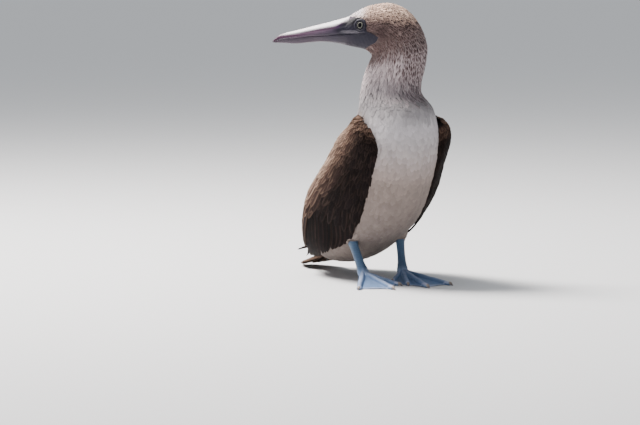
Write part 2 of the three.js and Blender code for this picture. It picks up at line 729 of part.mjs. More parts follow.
function buildLeg(left) {
  const side = left ? "left" : "right";
  const place = (solid) => (left ? mirrored(solid) : solid);
  const toes = TOE_SETS[side];
  const leg = legShape();
  const cutPoint = footJoint().addScaledVector(LEG_AXIS, LEG_FOOT_CUT);
  const ankle = trim(leg, LEG_AXIS.clone().negate(), cutPoint, GAP / 2);
  let foot = fuse([ankle, webPlate(toes), ...toes.map(toeShape)]);
  foot = foot.subtract(fuse(toes.map((toe) => beyondToe(toe, clawShape(toe, CUTTER_GROWTH)))));
  foot = trim(foot, v3(0, 0, 1), v3(0, 0, 0));
  add(`foot_${side}`, place(foot), MATERIALS.foot);
  for (const toe of toes) {
    const claw = beyondToe(toe, trim(clawShape(toe), v3(0, 0, 1), v3(0, 0, 0)), GAP);
    add(`claw_${toe.name}_${side}`, place(claw), MATERIALS.claw);
  }

  let shank = trim(leg, LEG_AXIS, cutPoint, GAP / 2);
  shank = trim(shank, LEG_AXIS.clone().negate(), LEG_TOP, GAP / 2);
  add(`leg_${side}`, place(shank.subtract(grownBody)), MATERIALS.foot);

  const trimmedThigh = trim(thighShape(), LEG_AXIS, LEG_TOP, GAP / 2).subtract(grownBody);
  add(`thigh_${side}`, place(trimmedThigh), MATERIALS.whiteFeather);
}

buildHead();
buildBill();
buildTrunk();
buildWing(false);
buildWing(true);
buildTail();
buildLeg(false);
buildLeg(true);

// The origin goes to the middle of the whole, on the floor.
const bird = new THREE.Group();
bird.add(...meshes);
const extent = new THREE.Box3().setFromObject(bird);
const middle = extent.getCenter(v3(0, 0, 0)).setZ(extent.min.z);
for (const mesh of meshes) mesh.geometry.translate(-middle.x, -middle.y, -middle.z);
export default bird;
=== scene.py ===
import math

import bmesh
import bpy
import numpy as np
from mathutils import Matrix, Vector


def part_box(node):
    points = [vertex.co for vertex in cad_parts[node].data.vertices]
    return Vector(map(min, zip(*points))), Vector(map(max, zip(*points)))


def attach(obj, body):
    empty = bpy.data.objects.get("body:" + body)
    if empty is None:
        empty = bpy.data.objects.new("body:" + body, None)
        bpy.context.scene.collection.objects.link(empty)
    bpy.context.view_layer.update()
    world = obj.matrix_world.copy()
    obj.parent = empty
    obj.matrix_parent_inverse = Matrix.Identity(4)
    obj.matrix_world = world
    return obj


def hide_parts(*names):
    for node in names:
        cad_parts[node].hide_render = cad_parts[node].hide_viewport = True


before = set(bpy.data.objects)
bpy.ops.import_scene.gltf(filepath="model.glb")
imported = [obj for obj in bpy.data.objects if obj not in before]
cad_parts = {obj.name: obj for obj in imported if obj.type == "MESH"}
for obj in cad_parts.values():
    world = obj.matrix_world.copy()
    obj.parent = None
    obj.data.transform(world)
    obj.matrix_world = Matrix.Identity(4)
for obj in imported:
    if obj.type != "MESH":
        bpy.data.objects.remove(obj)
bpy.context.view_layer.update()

# Driving dimensions.
ANKLE_HEIGHT = 17
HEAD_TURN = math.radians(115)
NECK_AXIS = np.array([0, -46.3])
UP = np.array([0, 0, 1.0])
EYEBALL_RADIUS = 8.5
EYE_SINK = 7
EYE = {"forward": 52.8, "height": 344.4, "surface": 21.4, "look_ahead": 0.41, "look_up": 0.2}
HEEL = np.array([-38.4, 25, 64])
FOOT_JOINT = np.array([-30.7, 0, 15])
PATCH_SIZE = 0.003  # a tuft's patch on the unwrap
rng = np.random.default_rng(7)

# The torso's sections from the neck's root to the rump: centre y and z, half width and half depth.
TORSO = [
    [-40, 229, 51, 51],
    [-39, 191, 60, 62],
    [-18, 149, 64, 66],
    [10, 111, 65, 66],
    [47, 83, 63, 60],
    [86, 56, 57, 51],
    [121, 34, 45, 36],
    [152, 20, 31, 21],
    [178, 12, 17, 9],
]

# Sections of the neck, head and bill: the throat side's forward and height, the nape or crown side's
# forward and height, half width, and shift to the far side.
HEAD = [
    [52, 247, -33, 249, 38, 15],
    [48.5, 266, -33, 266, 35.5, 16],
    [43.6, 282.8, -36.8, 282.8, 34.5, 11],
    [39.1, 293.3, -39.3, 298.9, 33.5, 5],
    [36.3, 299.2, -40.1, 313.6, 33, 1],
    [36, 302.1, -35.8, 330.4, 32, 0],
    [37.1, 304.4, -26, 350, 31, 0],
    [39.1, 306.6, -10.6, 365.8, 30, 0],
    [41.9, 308.6, 9.7, 373.9, 28.5, 0],
    [46.1, 310.5, 28.6, 372.7, 26.5, 0],
    [51.7, 312.2, 44, 368.9, 24, 0],
    [58.7, 313.6, 55.2, 363.3, 20.5, 0],
    [65.7, 315, 64.3, 358.4, 17.5, 0],
    [72.7, 316.8, 72.7, 354.2, 15, 0],
    [82.5, 318.9, 82.5, 351.4, 12.5, 0],
    [95.1, 320.7, 95.1, 347.9, 10.3, 0],
    [109.1, 321.2, 109.1, 344.4, 8.6, 0],
    [124.5, 320, 124.5, 340.6, 7.2, 0],
    [139.9, 318.6, 139.9, 336.7, 5.9, 0],
    [153.9, 319.2, 153.9, 333.6, 4.6, 0],
    [163.7, 319.8, 163.7, 330.5, 3.2, 0],
    [170, 320, 170, 325.4, 1.8, 0],
    [172.6, 320.4, 172.6, 322.4, 0.8, 0],
]
THROAT_TURN = 2 * math.pi * 9 / 28  # how far round from the breastbone the throat lies

# The line of the mouth, from the bill's tip to under the eye: forward and height.
GAPE = np.array(
    [
        [175.5, 320.2],
        [158.1, 325.5],
        [141.3, 327.5],
        [120.3, 328.7],
        [95.8, 329.8],
        [77.6, 332.2],
        [65.7, 333.2],
        [46.1, 333.9],
    ]
)

# The edge of the bare face: its heights and how far forward it lies.
FACE_EDGE = np.array(
    [
        [308, 46], [311.5, 45.6], [317.2, 38.5], [320.9, 31.4], [328, 27.7], [333.3, 36.7],
        [336.4, 43.8], [342.3, 45.1], [351.3, 47.3], [354.8, 53.6], [356.2, 66],
    ]
)
FACE_BOTTOM, FACE_TOP = 290, 357


def unit(v):
    return v / np.maximum(np.linalg.norm(v, axis=-1, keepdims=True), 1e-9)


def smoothstep(x, a, b):
    k = np.clip((np.asarray(x, float) - a) / (b - a), 0, 1)
    return k * k * (3 - 2 * k)


def fall(x, a, b):
    return 1 - smoothstep(x, a, b)


def hump(x, middle, width):
    return np.exp(-(((x - middle) / width) ** 2))


def lerp(a, b, f):
    return a + (b - a) * f


def blend(a, b, share):
    """lerp for colours or points, with one share for each."""
    return lerp(a, b, np.asarray(share)[..., None])


def full_circle(count):
    """Turns spread evenly round a circle."""
    return 2 * math.pi * np.arange(count) / count


def hermite(f, p1, p2, m1, m2):
    """The cubic from p1 to p2 with slopes m1 and m2 at its ends."""
    return (
        p1 * (2 * f**3 - 3 * f**2 + 1)
        + m1 * (f**3 - 2 * f**2 + f)
        + p2 * (3 * f**2 - 2 * f**3)
        + m2 * (f**3 - f**2)
    )


def along(rows, t):
    """The values at t of a smooth curve through rows, one row at each whole t from 0."""
    rows = np.asarray(rows, float)
    t = np.asarray(t, float)
    last = len(rows) - 1
    i = np.clip(np.floor(t).astype(int), 0, last - 1)
    f = (t - i)[..., None]
    before, p1, p2, after = (rows[np.clip(i + step, 0, last)] for step in (-1, 0, 1, 2))
    m1 = (p2 - before) / np.where(i > 0, 2, 1)[..., None]
    m2 = (after - p1) / np.where(i + 2 <= last, 2, 1)[..., None]
    curve = hermite(np.clip(f, 0, 1), p1, p2, m1, m2)
    return curve + m1 * np.minimum(f, 0) + m2 * np.maximum(f - 1, 0)


# The head's own axes: forward along the bill, and to the side that faces away from the breast.
FORWARD = np.array([-math.sin(HEAD_TURN), -math.cos(HEAD_TURN), 0])
FAR_SIDE = np.array([FORWARD[1], -FORWARD[0], 0])


def head_point(forward, height, side=0.0):
    forward, height, side = np.broadcast_arrays(forward, height, side)
    flat = NECK_AXIS + forward[..., None] * FORWARD[:2] + side[..., None] * FAR_SIDE[:2]
    return np.concatenate([flat, (ANKLE_HEIGHT + height)[..., None]], -1)


def head_axes(p):
    """Forward, height and side of points in the head's own axes."""
    d = p[..., :2] - NECK_AXIS
    return d @ FORWARD[:2], p[..., 2] - ANKLE_HEIGHT, d @ FAR_SIDE[:2]


def torso_point(t, turn, h=0.0):
    """A point over the torso at section t, at turn round it from the breastbone to the right."""
    y, z, wide, deep = np.moveaxis(along(TORSO, t), -1, 0)
    step = 0.05
    behind, ahead = (along(TORSO, np.asarray(t) + way * step) for way in (-1, 1))
    run = (ahead - behind)[..., :2]
    length = np.hypot(run[..., 0], run[..., 1])
    run_y, run_z = run[..., 0] / length, run[..., 1] / length
    out = -np.cos(turn) * (deep + h)
    height = ANKLE_HEIGHT + z + run_y * out
    return np.stack([-np.sin(turn) * (wide + h), y - run_z * out, height], -1)


eye_low, eye_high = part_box("eye_left")


def eye_outward(side):
    v = FAR_SIDE * side + FORWARD * EYE["look_ahead"] + np.array([0, 0, EYE["look_up"]])
    return unit(v)


def eye_centre(side):
    on_skin = head_point(EYE["forward"], EYE["height"], side * EYE["surface"])
    return on_skin - eye_outward(side) * EYE_SINK


# From the working axes to the frame's.
SHIFT = np.array((eye_low + eye_high) / 2) * 1000 - eye_centre(-1)


class Patch:
    """A surface known on a grid over a and b, read between its points, with its two tangents."""

    def __init__(self, points, a_range, b_range, outward, wrap=False):
        self.points = points
        self.a_range = a_range
        self.b_range = b_range
        self.wrap = wrap
        rows, cols = points.shape[:2]
        self.step_a = (a_range[1] - a_range[0]) / (rows - 1)
        self.step_b = (b_range[1] - b_range[0]) / (cols if wrap else cols - 1)
        self.da = np.gradient(points, self.step_a, axis=0)
        if wrap:
            self.db = (np.roll(points, -1, 1) - np.roll(points, 1, 1)) / (2 * self.step_b)
        else:
            self.db = np.gradient(points, self.step_b, axis=1)
        self.sign = 1
        middle = self.at(sum(a_range) / 2, b_range[0] + 0.45 * (b_range[1] - b_range[0]))
        away = middle[0] - points[rows // 2].mean(0) if wrap else np.array(outward, float)
        self.sign = 1 if np.sum(middle[3] * away) > 0 else -1

    def _read(self, grid, a, b):
        rows, cols = grid.shape[:2]
        x = np.clip((a - self.a_range[0]) / self.step_a, 0, rows - 1.001)
        i = np.floor(x).astype(int)
        f = (x - i)[..., None]
        y = (b - self.b_range[0]) / self.step_b
        if self.wrap:
            y = np.mod(y, cols)
            j = np.floor(y).astype(int) % cols
            k = (j + 1) % cols
        else:
            y = np.clip(y, 0, cols - 1.001)
            j = np.floor(y).astype(int)
            k = j + 1
        g = (y - np.floor(y))[..., None]
        low = grid[i, j] * (1 - g) + grid[i, k] * g
        high = grid[i + 1, j] * (1 - g) + grid[i + 1, k] * g
        return low * (1 - f) + high * f

    def unwrap(self, places):
        """Where places lie on the patch's flat map."""
        a = (places[:, 0] - self.a_range[0]) / (self.a_range[1] - self.a_range[0])
        b = (places[:, 1] - self.b_range[0]) / (self.b_range[1] - self.b_range[0])
        return np.stack([np.mod(b, 1) if self.wrap else b, a], 1)

    def at(self, a, b):
        """Point, both tangents and the outward normal."""
        a, b = np.broadcast_arrays(np.asarray(a, float), np.asarray(b, float))
        p = self._read(self.points, a, b)
        ta = self._read(self.da, a, b)
        tb = self._read(self.db, a, b)
        return p, ta, tb, unit(np.cross(ta, tb)) * self.sign


def resample_rings(rings, count):
    """Smooth rows through uneven rings: the knots lie apart as the rings' middles do."""
    gaps = np.sqrt(np.linalg.norm(np.diff(rings.mean(1), axis=0), axis=1))
    knots = np.concatenate([[0], np.cumsum(gaps)])
    widths = np.diff(knots)
    steps = np.diff(rings, axis=0) / widths[:, None, None]
    w = (widths[1:] / (knots[2:] - knots[:-2]))[:, None, None]
    slopes = np.concatenate([steps[:1], steps[:-1] * w + steps[1:] * (1 - w), steps[-1:]])
    places = np.interp(np.linspace(0, len(rings) - 1, count), np.arange(len(rings)), knots)
    i = np.minimum(np.searchsorted(knots, places, side="right") - 1, len(rings) - 2)
    width = widths[i][:, None, None]
    f = (places - knots[i])[:, None, None] / width
    return hermite(f, rings[i], rings[i + 1], slopes[i] * width, slopes[i + 1] * width)


# The body as one surface, from the bill's root (q = 0) over the head and neck to the rump.
TURNS = 256
SKIN_FIRST_ROW = 15  # the head section where the skin starts, under the bill


def body_rings():
    turn = full_circle(TURNS)
    head_turn = turn - THROAT_TURN
    rings = []
    for in_f, in_z, out_f, out_z, wide, shift in reversed(HEAD[: SKIN_FIRST_ROW + 1]):
        c = (1 + np.cos(head_turn)) / 2
        side = shift + np.sin(head_turn) * wide
        rings.append(head_point(lerp(out_f, in_f, c), lerp(out_z, in_z, c), side))
    for t in range(len(TORSO)):
        rings.append(torso_point(np.full(TURNS, t), turn))
    return np.array(rings)


RINGS = body_rings()
Q_END = len(RINGS) - 1
body = Patch(resample_rings(RINGS, 900), (0, Q_END), (0, 2 * math.pi), None, wrap=True)


# Meshes.
def add_object(name, data):
    obj = bpy.data.objects.new(name, data)
    bpy.context.scene.collection.objects.link(obj)
    return obj


def make_object(name, points, faces, material, tint=None, uvs=None, normals=None):
    """A mesh object from millimetre points, ready for the frame."""
    mesh = bpy.data.meshes.new(name)
    co = ((np.asarray(points, float) + SHIFT) / 1000).astype(np.float32)
    sizes = np.concatenate([np.full(len(group), group.shape[1]) for group in faces])
    loops = np.concatenate([group.ravel() for group in faces]).astype(np.int32)
    mesh.vertices.add(len(co))
    mesh.vertices.foreach_set("co", co.ravel())
    mesh.loops.add(len(loops))
    mesh.loops.foreach_set("vertex_index", loops)
    mesh.polygons.add(len(sizes))
    starts = np.concatenate([[0], np.cumsum(sizes)[:-1]]).astype(np.int32)
    mesh.polygons.foreach_set("loop_start", starts)
    mesh.update(calc_edges=True)
    mesh.validate()
    mesh.polygons.foreach_set("use_smooth", np.full(len(mesh.polygons), True))
    if tint is not None:
        attribute = mesh.color_attributes.new("tint", "FLOAT_COLOR", "POINT")
        rgba = np.concatenate([np.asarray(tint, float), np.ones((len(co), 1))], 1)
        attribute.data.foreach_set("color", rgba.astype(np.float32).ravel())
    for uv_name, uv in (uvs or {}).items():
        layer = mesh.uv_layers.new(name=uv_name)
        layer.data.foreach_set("uv", np.asarray(uv, np.float32)[loops].ravel())
    mesh.materials.append(material)
    if normals is not None:
        mesh.normals_split_custom_set_from_vertices(np.asarray(normals, float))
    return add_object(name, mesh)


def fix_facing(obj):
    """Turns a closed mesh's faces outwards."""
    mesh = bmesh.new()
    mesh.from_mesh(obj.data)
    bmesh.ops.recalc_face_normals(mesh, faces=mesh.faces)
    mesh.to_mesh(obj.data)
    mesh.free()


def grid_faces(rows, cols, wrap_rows=False, wrap_cols=False):
    i = np.arange(rows if wrap_rows else rows - 1)
    j = np.arange(cols if wrap_cols else cols - 1)
    i, j = np.meshgrid(i, j, indexing="ij")
    a = i * cols + j
    b = i * cols + (j + 1) % cols
    c = ((i + 1) % rows) * cols + (j + 1) % cols
    d = ((i + 1) % rows) * cols + j
    return np.stack([a, b, c, d], -1).reshape(-1, 4)


def closed_faces(rows, cols):
    """The faces of a closed tube: its rows round, and a cap at each end."""
    caps = np.array([list(range(cols))[::-1], [(rows - 1) * cols + j for j in range(cols)]])
    return [grid_faces(rows, cols, wrap_cols=True), caps]


def end_fans(rows, cols, first_pole):
    """Triangles from a tube's two ends to the poles, which are two points in a row."""
    j = np.arange(cols)
    last = (rows - 1) * cols
    pole = np.full(cols, first_pole)
    first_fan = np.stack([pole, (j + 1) % cols, j], 1)
    return [first_fan, np.stack([pole + 1, last + j, last + (j + 1) % cols], 1)]


def joined(parts):
    """The points and faces of several meshes as one."""
    offset, faces = 0, {}
    for points, groups in parts:
        for group in groups:
            faces.setdefault(group.shape[1], []).append(group + offset)
        offset += len(points)
    points = np.concatenate([part[0] for part in parts])
    return points, [np.concatenate(groups) for groups in faces.values()]


def srgb(r, g, b):
    """Linear colour from the usual 0 to 255 numbers."""
    c = np.array([r, g, b]) / 255
    return np.where(c <= 0.04045, c / 12.92, ((c + 0.055) / 1.055) ** 2.4)


CREAM_AND_TOP_LIGHT = srgb(255, 216, 192)
TAN = srgb(140, 119, 114)
CHEEK = srgb(74, 59, 59)
STREAK = srgb(74, 56, 56)
NECK_PALE = srgb(198, 183, 185)
WHITE = srgb(228, 222, 226)
WARM_WHITE = srgb(222, 202, 192)
MOTTLE = srgb(160, 148, 156)
BROWN = srgb(58, 42, 37)
DARK_BROWN = srgb(31, 23, 24)
BLACK_BROWN = srgb(22, 17, 19)
PALE_EDGE = srgb(158, 130, 112)
LIT_EDGE = srgb(204, 178, 156)
FACE = srgb(30, 28, 42)
FACE_PALE = srgb(112, 108, 116)
VIOLET = srgb(66, 32, 74)
BILL_GREY = srgb(68, 58, 70)
BILL_MAUVE = srgb(112, 94, 113)
PAINTED_HIGHLIGHT = srgb(250, 245, 250)
BILL_TIP = srgb(84, 48, 76)
FOOT_WEB = srgb(100, 126, 164)
FOOT_LEG = srgb(66, 90, 118)
FOOT_PALE = srgb(188, 194, 220)
CLAW_BASE = srgb(172, 160, 150)
CLAW_TIP = srgb(112, 104, 104)


# Materials.
def set_inputs(tree, node, inputs):
    """Gives each input its value, or links it to the output that feeds it."""
    for key, value in inputs.items():
        if isinstance(value, bpy.types.NodeSocket):
            tree.links.new(value, node.inputs[key])
        else:
            node.inputs[key].default_value = value


def add_node(tree, kind, inputs, **settings):
    node = tree.nodes.new("ShaderNode" + kind)
    for key, value in settings.items():
        setattr(node, key, value)
    set_inputs(tree, node, inputs)
    return node


def new_material(name, inputs):
    material = bpy.data.materials.new(name)
    material.use_nodes = True
    tree = material.node_tree
    shader = tree.nodes["Principled BSDF"]
    set_inputs(tree, shader, inputs)
    return material, tree, shader


def add_colour(tree, shader, colour, noise, low, high):
    """The shader's colour, made darker and lighter by a noise."""
    span = add_node(tree, "MapRange", {"Value": noise.outputs["Fac"], "To Min": low, "To Max": high})
    inputs = {"Factor": 1, "A": colour, "B": span.outputs["Result"]}
    mix = add_node(tree, "Mix", inputs, data_type="RGBA", blend_type="MULTIPLY")
    set_inputs(tree, shader, {"Base Color": mix.outputs["Result"]})


def add_bump(tree, shader, texture, strength, distance):
    inputs = {"Strength": strength, "Distance": distance, "Height": texture.outputs["Fac"]}
    set_inputs(tree, shader, {"Normal": add_node(tree, "Bump", inputs).outputs["Normal"]})


def tinted(name, roughness, grain_scale, grain, bump=0.0, bump_scale=400.0, sheen=0.0, specular=0.5):
    """A material coloured by the mesh's own tint, with a fine grain over it."""
    surface = {"Roughness": roughness, "Specular IOR Level": specular}
    shine = {"Sheen Weight": sheen, "Sheen Roughness": 0.5}
    material, tree, shader = new_material(name, surface | shine)
    tint = add_node(tree, "VertexColor", {}, layer_name="tint").outputs["Color"]
    place = add_node(tree, "TexCoord", {}).outputs["Object"]
    noise = add_node(tree, "TexNoise", {"Vector": place, "Scale": grain_scale, "Detail": 4})
    add_colour(tree, shader, tint, noise, 1 - grain, 1 + grain)
    if bump:
        fine = add_node(tree, "TexNoise", {"Vector": place, "Scale": bump_scale})
        add_bump(tree, shader, fine, bump, 0.0005)
    return material


def vane_material(name, roughness, barbs, sheen=0.0, specular=0.5):
    """Feather material: the mesh's tint, with barbs out from the shaft along the vane's own map."""
    material = tinted(name, roughness, 180, 0.12, sheen=sheen, specular=specular)
    tree = material.node_tree
    vane = add_node(tree, "UVMap", {}, uv_map="Vane").outputs["UV"]
    wave = add_node(tree, "TexWave", {"Vector": vane, "Scale": 14, "Distortion": 1.5, "Detail": 2})
    add_bump(tree, tree.nodes["Principled BSDF"], wave, barbs, 0.0003)
    return material


# The iris from its middle outwards: each ring's radius on the eye's map and its colour.
IRIS_RINGS = [
    (0.19, (0.004, 0.004, 0.006)),
    (0.202, srgb(112, 112, 98)),
    (0.215, srgb(150, 150, 138)),
    (0.24, srgb(138, 139, 130)),
    (0.256, srgb(24, 23, 28)),
]


def eye_material():
    """A pale iris round a wide dark pupil."""
    surface = {"Roughness": 0.25, "Specular IOR Level": 0.04}
    film = {"Coat Weight": 0.05, "Coat Roughness": 0.03}
    material, tree, shader = new_material("eye", surface | film)
    uv = add_node(tree, "UVMap", {}, uv_map="Iris").outputs["UV"]
    centred = add_node(tree, "VectorMath", {0: uv, 1: (0.5, 0.5, 0)}, operation="SUBTRACT")
    oval = {0: centred.outputs["Vector"], 1: (1.18, 0.92, 0)}
    stretched = add_node(tree, "VectorMath", oval, operation="MULTIPLY")
    length = add_node(tree, "VectorMath", {0: stretched.outputs["Vector"]}, operation="LENGTH")
    ramp = add_node(tree, "ValToRGB", {"Fac": length.outputs["Value"]})
    stops = ramp.color_ramp.elements
    for i, (position, colour) in enumerate(IRIS_RINGS):
        stop = stops[i] if i < 2 else stops.new(position)
        stop.position = position
        stop.color = (*colour, 1)
    streaks = add_node(tree, "TexNoise", {"Vector": uv, "Scale": 60})
    add_colour(tree, shader, ramp.outputs["Color"], streaks, 0.75, 1.2)
    return material


SOFT_FEATHER = vane_material("soft_feather", 0.9, 0.25, sheen=0.04, specular=0.15)
STIFF_FEATHER = vane_material("stiff_feather", 0.8, 0.5, specular=0.06)
SKIN = tinted("skin", 0.6, 260, 0.1, bump=0.35, bump_scale=900, specular=0.25)
BILL = tinted("bill", 0.42, 120, 0.08, bump=0.15, bump_scale=500, specular=0.3)
FOOT = tinted("foot_skin", 0.45, 200, 0.1, bump=0.3, bump_scale=700)
CLAW = tinted("claw", 0.35, 200, 0.1)


# Feathers.
def vane_mesh(patch, root, tip, width, outline, rise, thick, cross, camber=0.0, tilt=0.0, sink=None):
    """Closed vanes over a patch. root and tip are (n, 2) places on it, outline gives the places along
    a vane with their share of its width, cross the places across it, and rise its height at the root
    and the tip. Returns points, faces, each point's place along and across, its vane and its normal."""
    root, tip, width, cross = (np.asarray(value, float) for value in (root, tip, width, cross))
    n, columns = len(root), len(cross)
    rise = [np.broadcast_to(np.asarray(value, float), (n,)) for value in rise]
    k, share = np.asarray(outline, float).T
    stations = len(k)
    step = 0.02
    (a, b), (a_next, b_next) = (
        [lerp(root[:, i, None], tip[:, i, None], place) for i in (0, 1)] for place in (k, k + step)
    )
    centre, ta, tb, normal = patch.at(a, b)
    run = unit(patch.at(a_next, b_next)[0] - centre)
    side = unit(np.cross(normal, run))
    half = width[:, None] * share / 2
    shift = side[:, :, None, :] * (half[:, :, None] * cross)[..., None]
    g11 = np.sum(ta * ta, -1)[:, :, None]
    g12 = np.sum(ta * tb, -1)[:, :, None]
    g22 = np.sum(tb * tb, -1)[:, :, None]
    d1 = np.sum(shift * ta[:, :, None, :], -1)
    d2 = np.sum(shift * tb[:, :, None, :], -1)
    det = g11 * g22 - g12 * g12
    da = (d1 * g22 - d2 * g12) / det
    db = (d2 * g11 - d1 * g12) / det
    p, _, _, out = patch.at(a[:, :, None] + da, b[:, :, None] + db)
    height = rise[0][:, None] + (rise[1] - rise[0])[:, None] * k**1.2
    if sink is not None:
        height = height - sink(a)
    arch = (half * camber)[:, :, None] * (1 - cross**2)
    top = p + out * (height[:, :, None] + arch + tilt * cross)[..., None]
    under = top[:, :, [0, -1]] - out[:, :, [0, -1]] * thick
    per = columns + 2
    points = np.concatenate([top, under], 2).reshape(n, stations * per, 3)
    faces = []
    for i in range(stations - 1):
        row = i * per
        nxt = row + per
        for j in range(columns - 1):
            faces.append([row + j, row + j + 1, nxt + j + 1, nxt + j])
        faces.append([row + columns - 1, row + columns + 1, nxt + columns + 1, nxt + columns - 1])
        faces.append([row + columns + 1, row + columns, nxt + columns, nxt + columns + 1])
        faces.append([row + columns, row, nxt, nxt + columns])
    quads = np.array(faces)[None] + (np.arange(n) * stations * per)[:, None, None]
    ring = list(range(columns)) + [columns + 1, columns]
    caps = np.array([ring[::-1], [(stations - 1) * per + r for r in ring]])[None]
    caps = caps + (np.arange(n) * stations * per)[:, None, None]
    tri = points[0][np.array(faces[0])]
    if np.sum(np.cross(tri[1] - tri[0], tri[3] - tri[0]) * out[0, 0, 0]) < 0:
        quads = quads[..., ::-1]
        caps = caps[..., ::-1]
    place = np.empty((n, stations, per, 2))
    place[..., 0] = k[None, :, None]
    place[..., 1] = np.concatenate([cross, [-1, 1]])
    smooth = np.concatenate([out, -out[:, :, [0, -1]]], 2)
    return {
        "points": points.reshape(-1, 3),
        "faces": [quads.reshape(-1, 4), caps.reshape(-1, per)],
        "place": place.reshape(-1, 2),
        "vane": np.repeat(np.arange(n), stations * per),
        "normals": smooth.reshape(-1, 3),
        "root": root,
        "length": np.linalg.norm(centre[:, -1] - centre[:, 0], axis=-1),
        "width": width,
    }


def vane_maps(made, patch):
    """The maps of a set of vanes: a patch each at its root's place on the skin's unwrap, and its own."""
    place, vane = made["place"], made["vane"]
    root = patch.unwrap(made["root"])[vane]
    around = (place - [0.5, 0]) * [PATCH_SIZE, PATCH_SIZE / 2]
    own = np.stack([made["length"][vane] * place[:, 0], made["width"][vane] * place[:, 1] / 2], 1) / 10
    own[:, 0] -= np.abs(own[:, 1]) * 0.8
    return {"OFBake": np.clip(root + around, 0, 1), "Vane": own}


def soften(made, amount):
    """Normals between each vane's own and the surface's under it."""
    points = made["points"]
    normals = np.zeros_like(points)
    for group in made["faces"]:
        a, b, c = points[group[:, 0]], points[group[:, 1]], points[group[:, 2]]
        flat = np.cross(b - a, c - a)
        for column in range(group.shape[1]):
            np.add.at(normals, group[:, column], flat)
    return unit(unit(normals) * (1 - amount) + made["normals"] * amount)


def scatter(patch, a_range, gap, stretch=1.0, jitter=0.7):
    """Places spread evenly over a patch in strips across it. gap(a) is how far apart they lie across,
    in millimetres, and they lie stretch times as far apart along it."""
    places = []
    a = a_range[0]
    b_fine = np.linspace(*patch.b_range, 400)
    while a < a_range[1]:
        _, ta, tb, _ = patch.at(np.full(400, a), b_fine)
        across = gap(a)
        long = across * stretch
        strip = long / np.median(np.linalg.norm(ta, axis=-1))
        area = np.linalg.norm(np.cross(ta, tb), axis=-1) * strip * (b_fine[1] - b_fine[0])
        total = np.concatenate([[0], np.cumsum(area / (across * long))])
        count = max(int(total[-1] + 0.5), 1)
        wanted = (np.arange(count) + rng.random()) / count * total[-1]
        wanted = wanted + (rng.random(count) - 0.5) * jitter * total[-1] / count
        b = np.interp(wanted, total, np.append(b_fine, b_fine[-1]))
        places.append(np.stack([a + strip * (0.5 + jitter * (rng.random(count) - 0.5)), b], 1))
        a += strip
    return np.concatenate(places)


def past_face_edge(forward, height):
    """How far in front of the bare face's edge a place lies."""
    return forward - np.interp(height, *FACE_EDGE.T)


def face_bare(p, margin=0.0):
    """True on the bare skin of the face, and within margin of it."""
    forward, height, _ = head_axes(p)
    return (past_face_edge(forward, height) > -margin) & (height < FACE_TOP) & (height > FACE_BOTTOM)


def tip_places(patch, root, length, yaw=0.0):
    """Where vanes of a length end, laid along the patch's a with a turn of yaw to b."""
    _, ta, tb, _ = patch.at(root[:, 0], root[:, 1])
    la = np.linalg.norm(ta, axis=-1)
    lb = np.linalg.norm(tb, axis=-1)
    return root + np.stack([length * np.cos(yaw) / la, length * np.sin(yaw) / lb], 1)


COAT_OUTLINE = [[0, 0.5], [0.45, 1], [0.85, 0.75], [1, 0.12]]
NARROW_OUTLINE = [[0, 0.6], [0.5, 1], [1, 0.1]]
ACROSS_STREAK = [-1, -0.48, 0.48, 1]
COAT_THICKNESS = 0.25
# Painted shade: the skin under the coat is darkened to this share.
UNDER_COAT_SHADE = 0.75  # how light the skin is under the coat
THIGH_COAT_DEPTH = 1.2


def head_colours(p, q, turn):
    """The colours of the coat's feathers from the bill's root to the neck's root: the feather's edge,
    its dark middle, and how strong that is."""
    forward, height, _ = head_axes(p)
    nape = (1 - np.cos(turn - THROAT_TURN)) / 2
    top = smoothstep(height, 344, 362)
    front = smoothstep(forward, 42, 58) * top
    cheek = np.exp(-(((forward - 27) / 15) ** 2 + ((height - 335) / 17) ** 2))
    on_neck = smoothstep(q + 0.3 * rng.standard_normal(len(q)), 8.3, 12)
    low_neck = smoothstep(q, 12.6, 15.2)
    # The crown's cream is partly its own colour and partly painted light from above.
    edge = blend(TAN, CREAM_AND_TOP_LIGHT, top)
    edge = blend(edge, WHITE, front)
    edge = blend(edge, CHEEK, 0.95 * cheek)
    # Painted shade under the chin: the throat's feathers darkened towards dull tan.
    shade_under_chin = smoothstep(q, 8, 9.5) * fall(q, 9.2, 11.8) * (1 - nape)
    edge = blend(edge, blend(NECK_PALE, NECK_PALE * 0.85, nape), on_neck)
    edge = blend(edge, TAN * 0.6, 0.8 * shade_under_chin)
    # Painted shade low on the neck: the feathers' edges turn to darkened white.
    edge = blend(edge, WHITE * 0.36, low_neck * (1 - 0.5 * nape))
    # The nape's feathers turn into the brown ones of the back.
    behind = smoothstep((1 - np.cos(turn)) / 2, 0.6, 0.85) * smoothstep(q, 13.2, 15.4)
    edge = blend(edge, PALE_EDGE * 1.1, 0.75 * behind)
    dark = blend(STREAK, BROWN, behind) * lerp(1, 0.6, nape)[:, None]
    # On the crown the dark marks are paler tan, partly their own colour and partly painted light.
    dark = blend(dark, TAN * 0.5, top * (q < 9))
    dark = blend(dark, MOTTLE, low_neck * (1 - 0.8 * nape))
    amount = lerp(0.95, 0.75, top) * (1 - 0.8 * front) * (1 - 0.6 * cheek)
    neck_amount = lerp(0.26, 1.0, smoothstep(nape, 0.12, 0.8))
    speckle = 0.85 * smoothstep(q, 9, 10) * fall(q, 11.2, 13)
    amount = lerp(amount, np.maximum(neck_amount, speckle), smoothstep(q, 9, 10.5))
    amount = amount * (1 - (0.55 - 0.5 * smoothstep(nape, 0.55, 0.9)) * low_neck)
    return edge, dark, np.maximum(amount, behind)


# Painted shade: how far the trunk's white is darkened, at places along the body.
TRUNK_PAINTED_SHADE = np.array([[14.9, 0.25], [15.6, 0.38], [16.2, 0.68], [17.7, 0.3], [19.2, 0.22], [22, 0.21]])


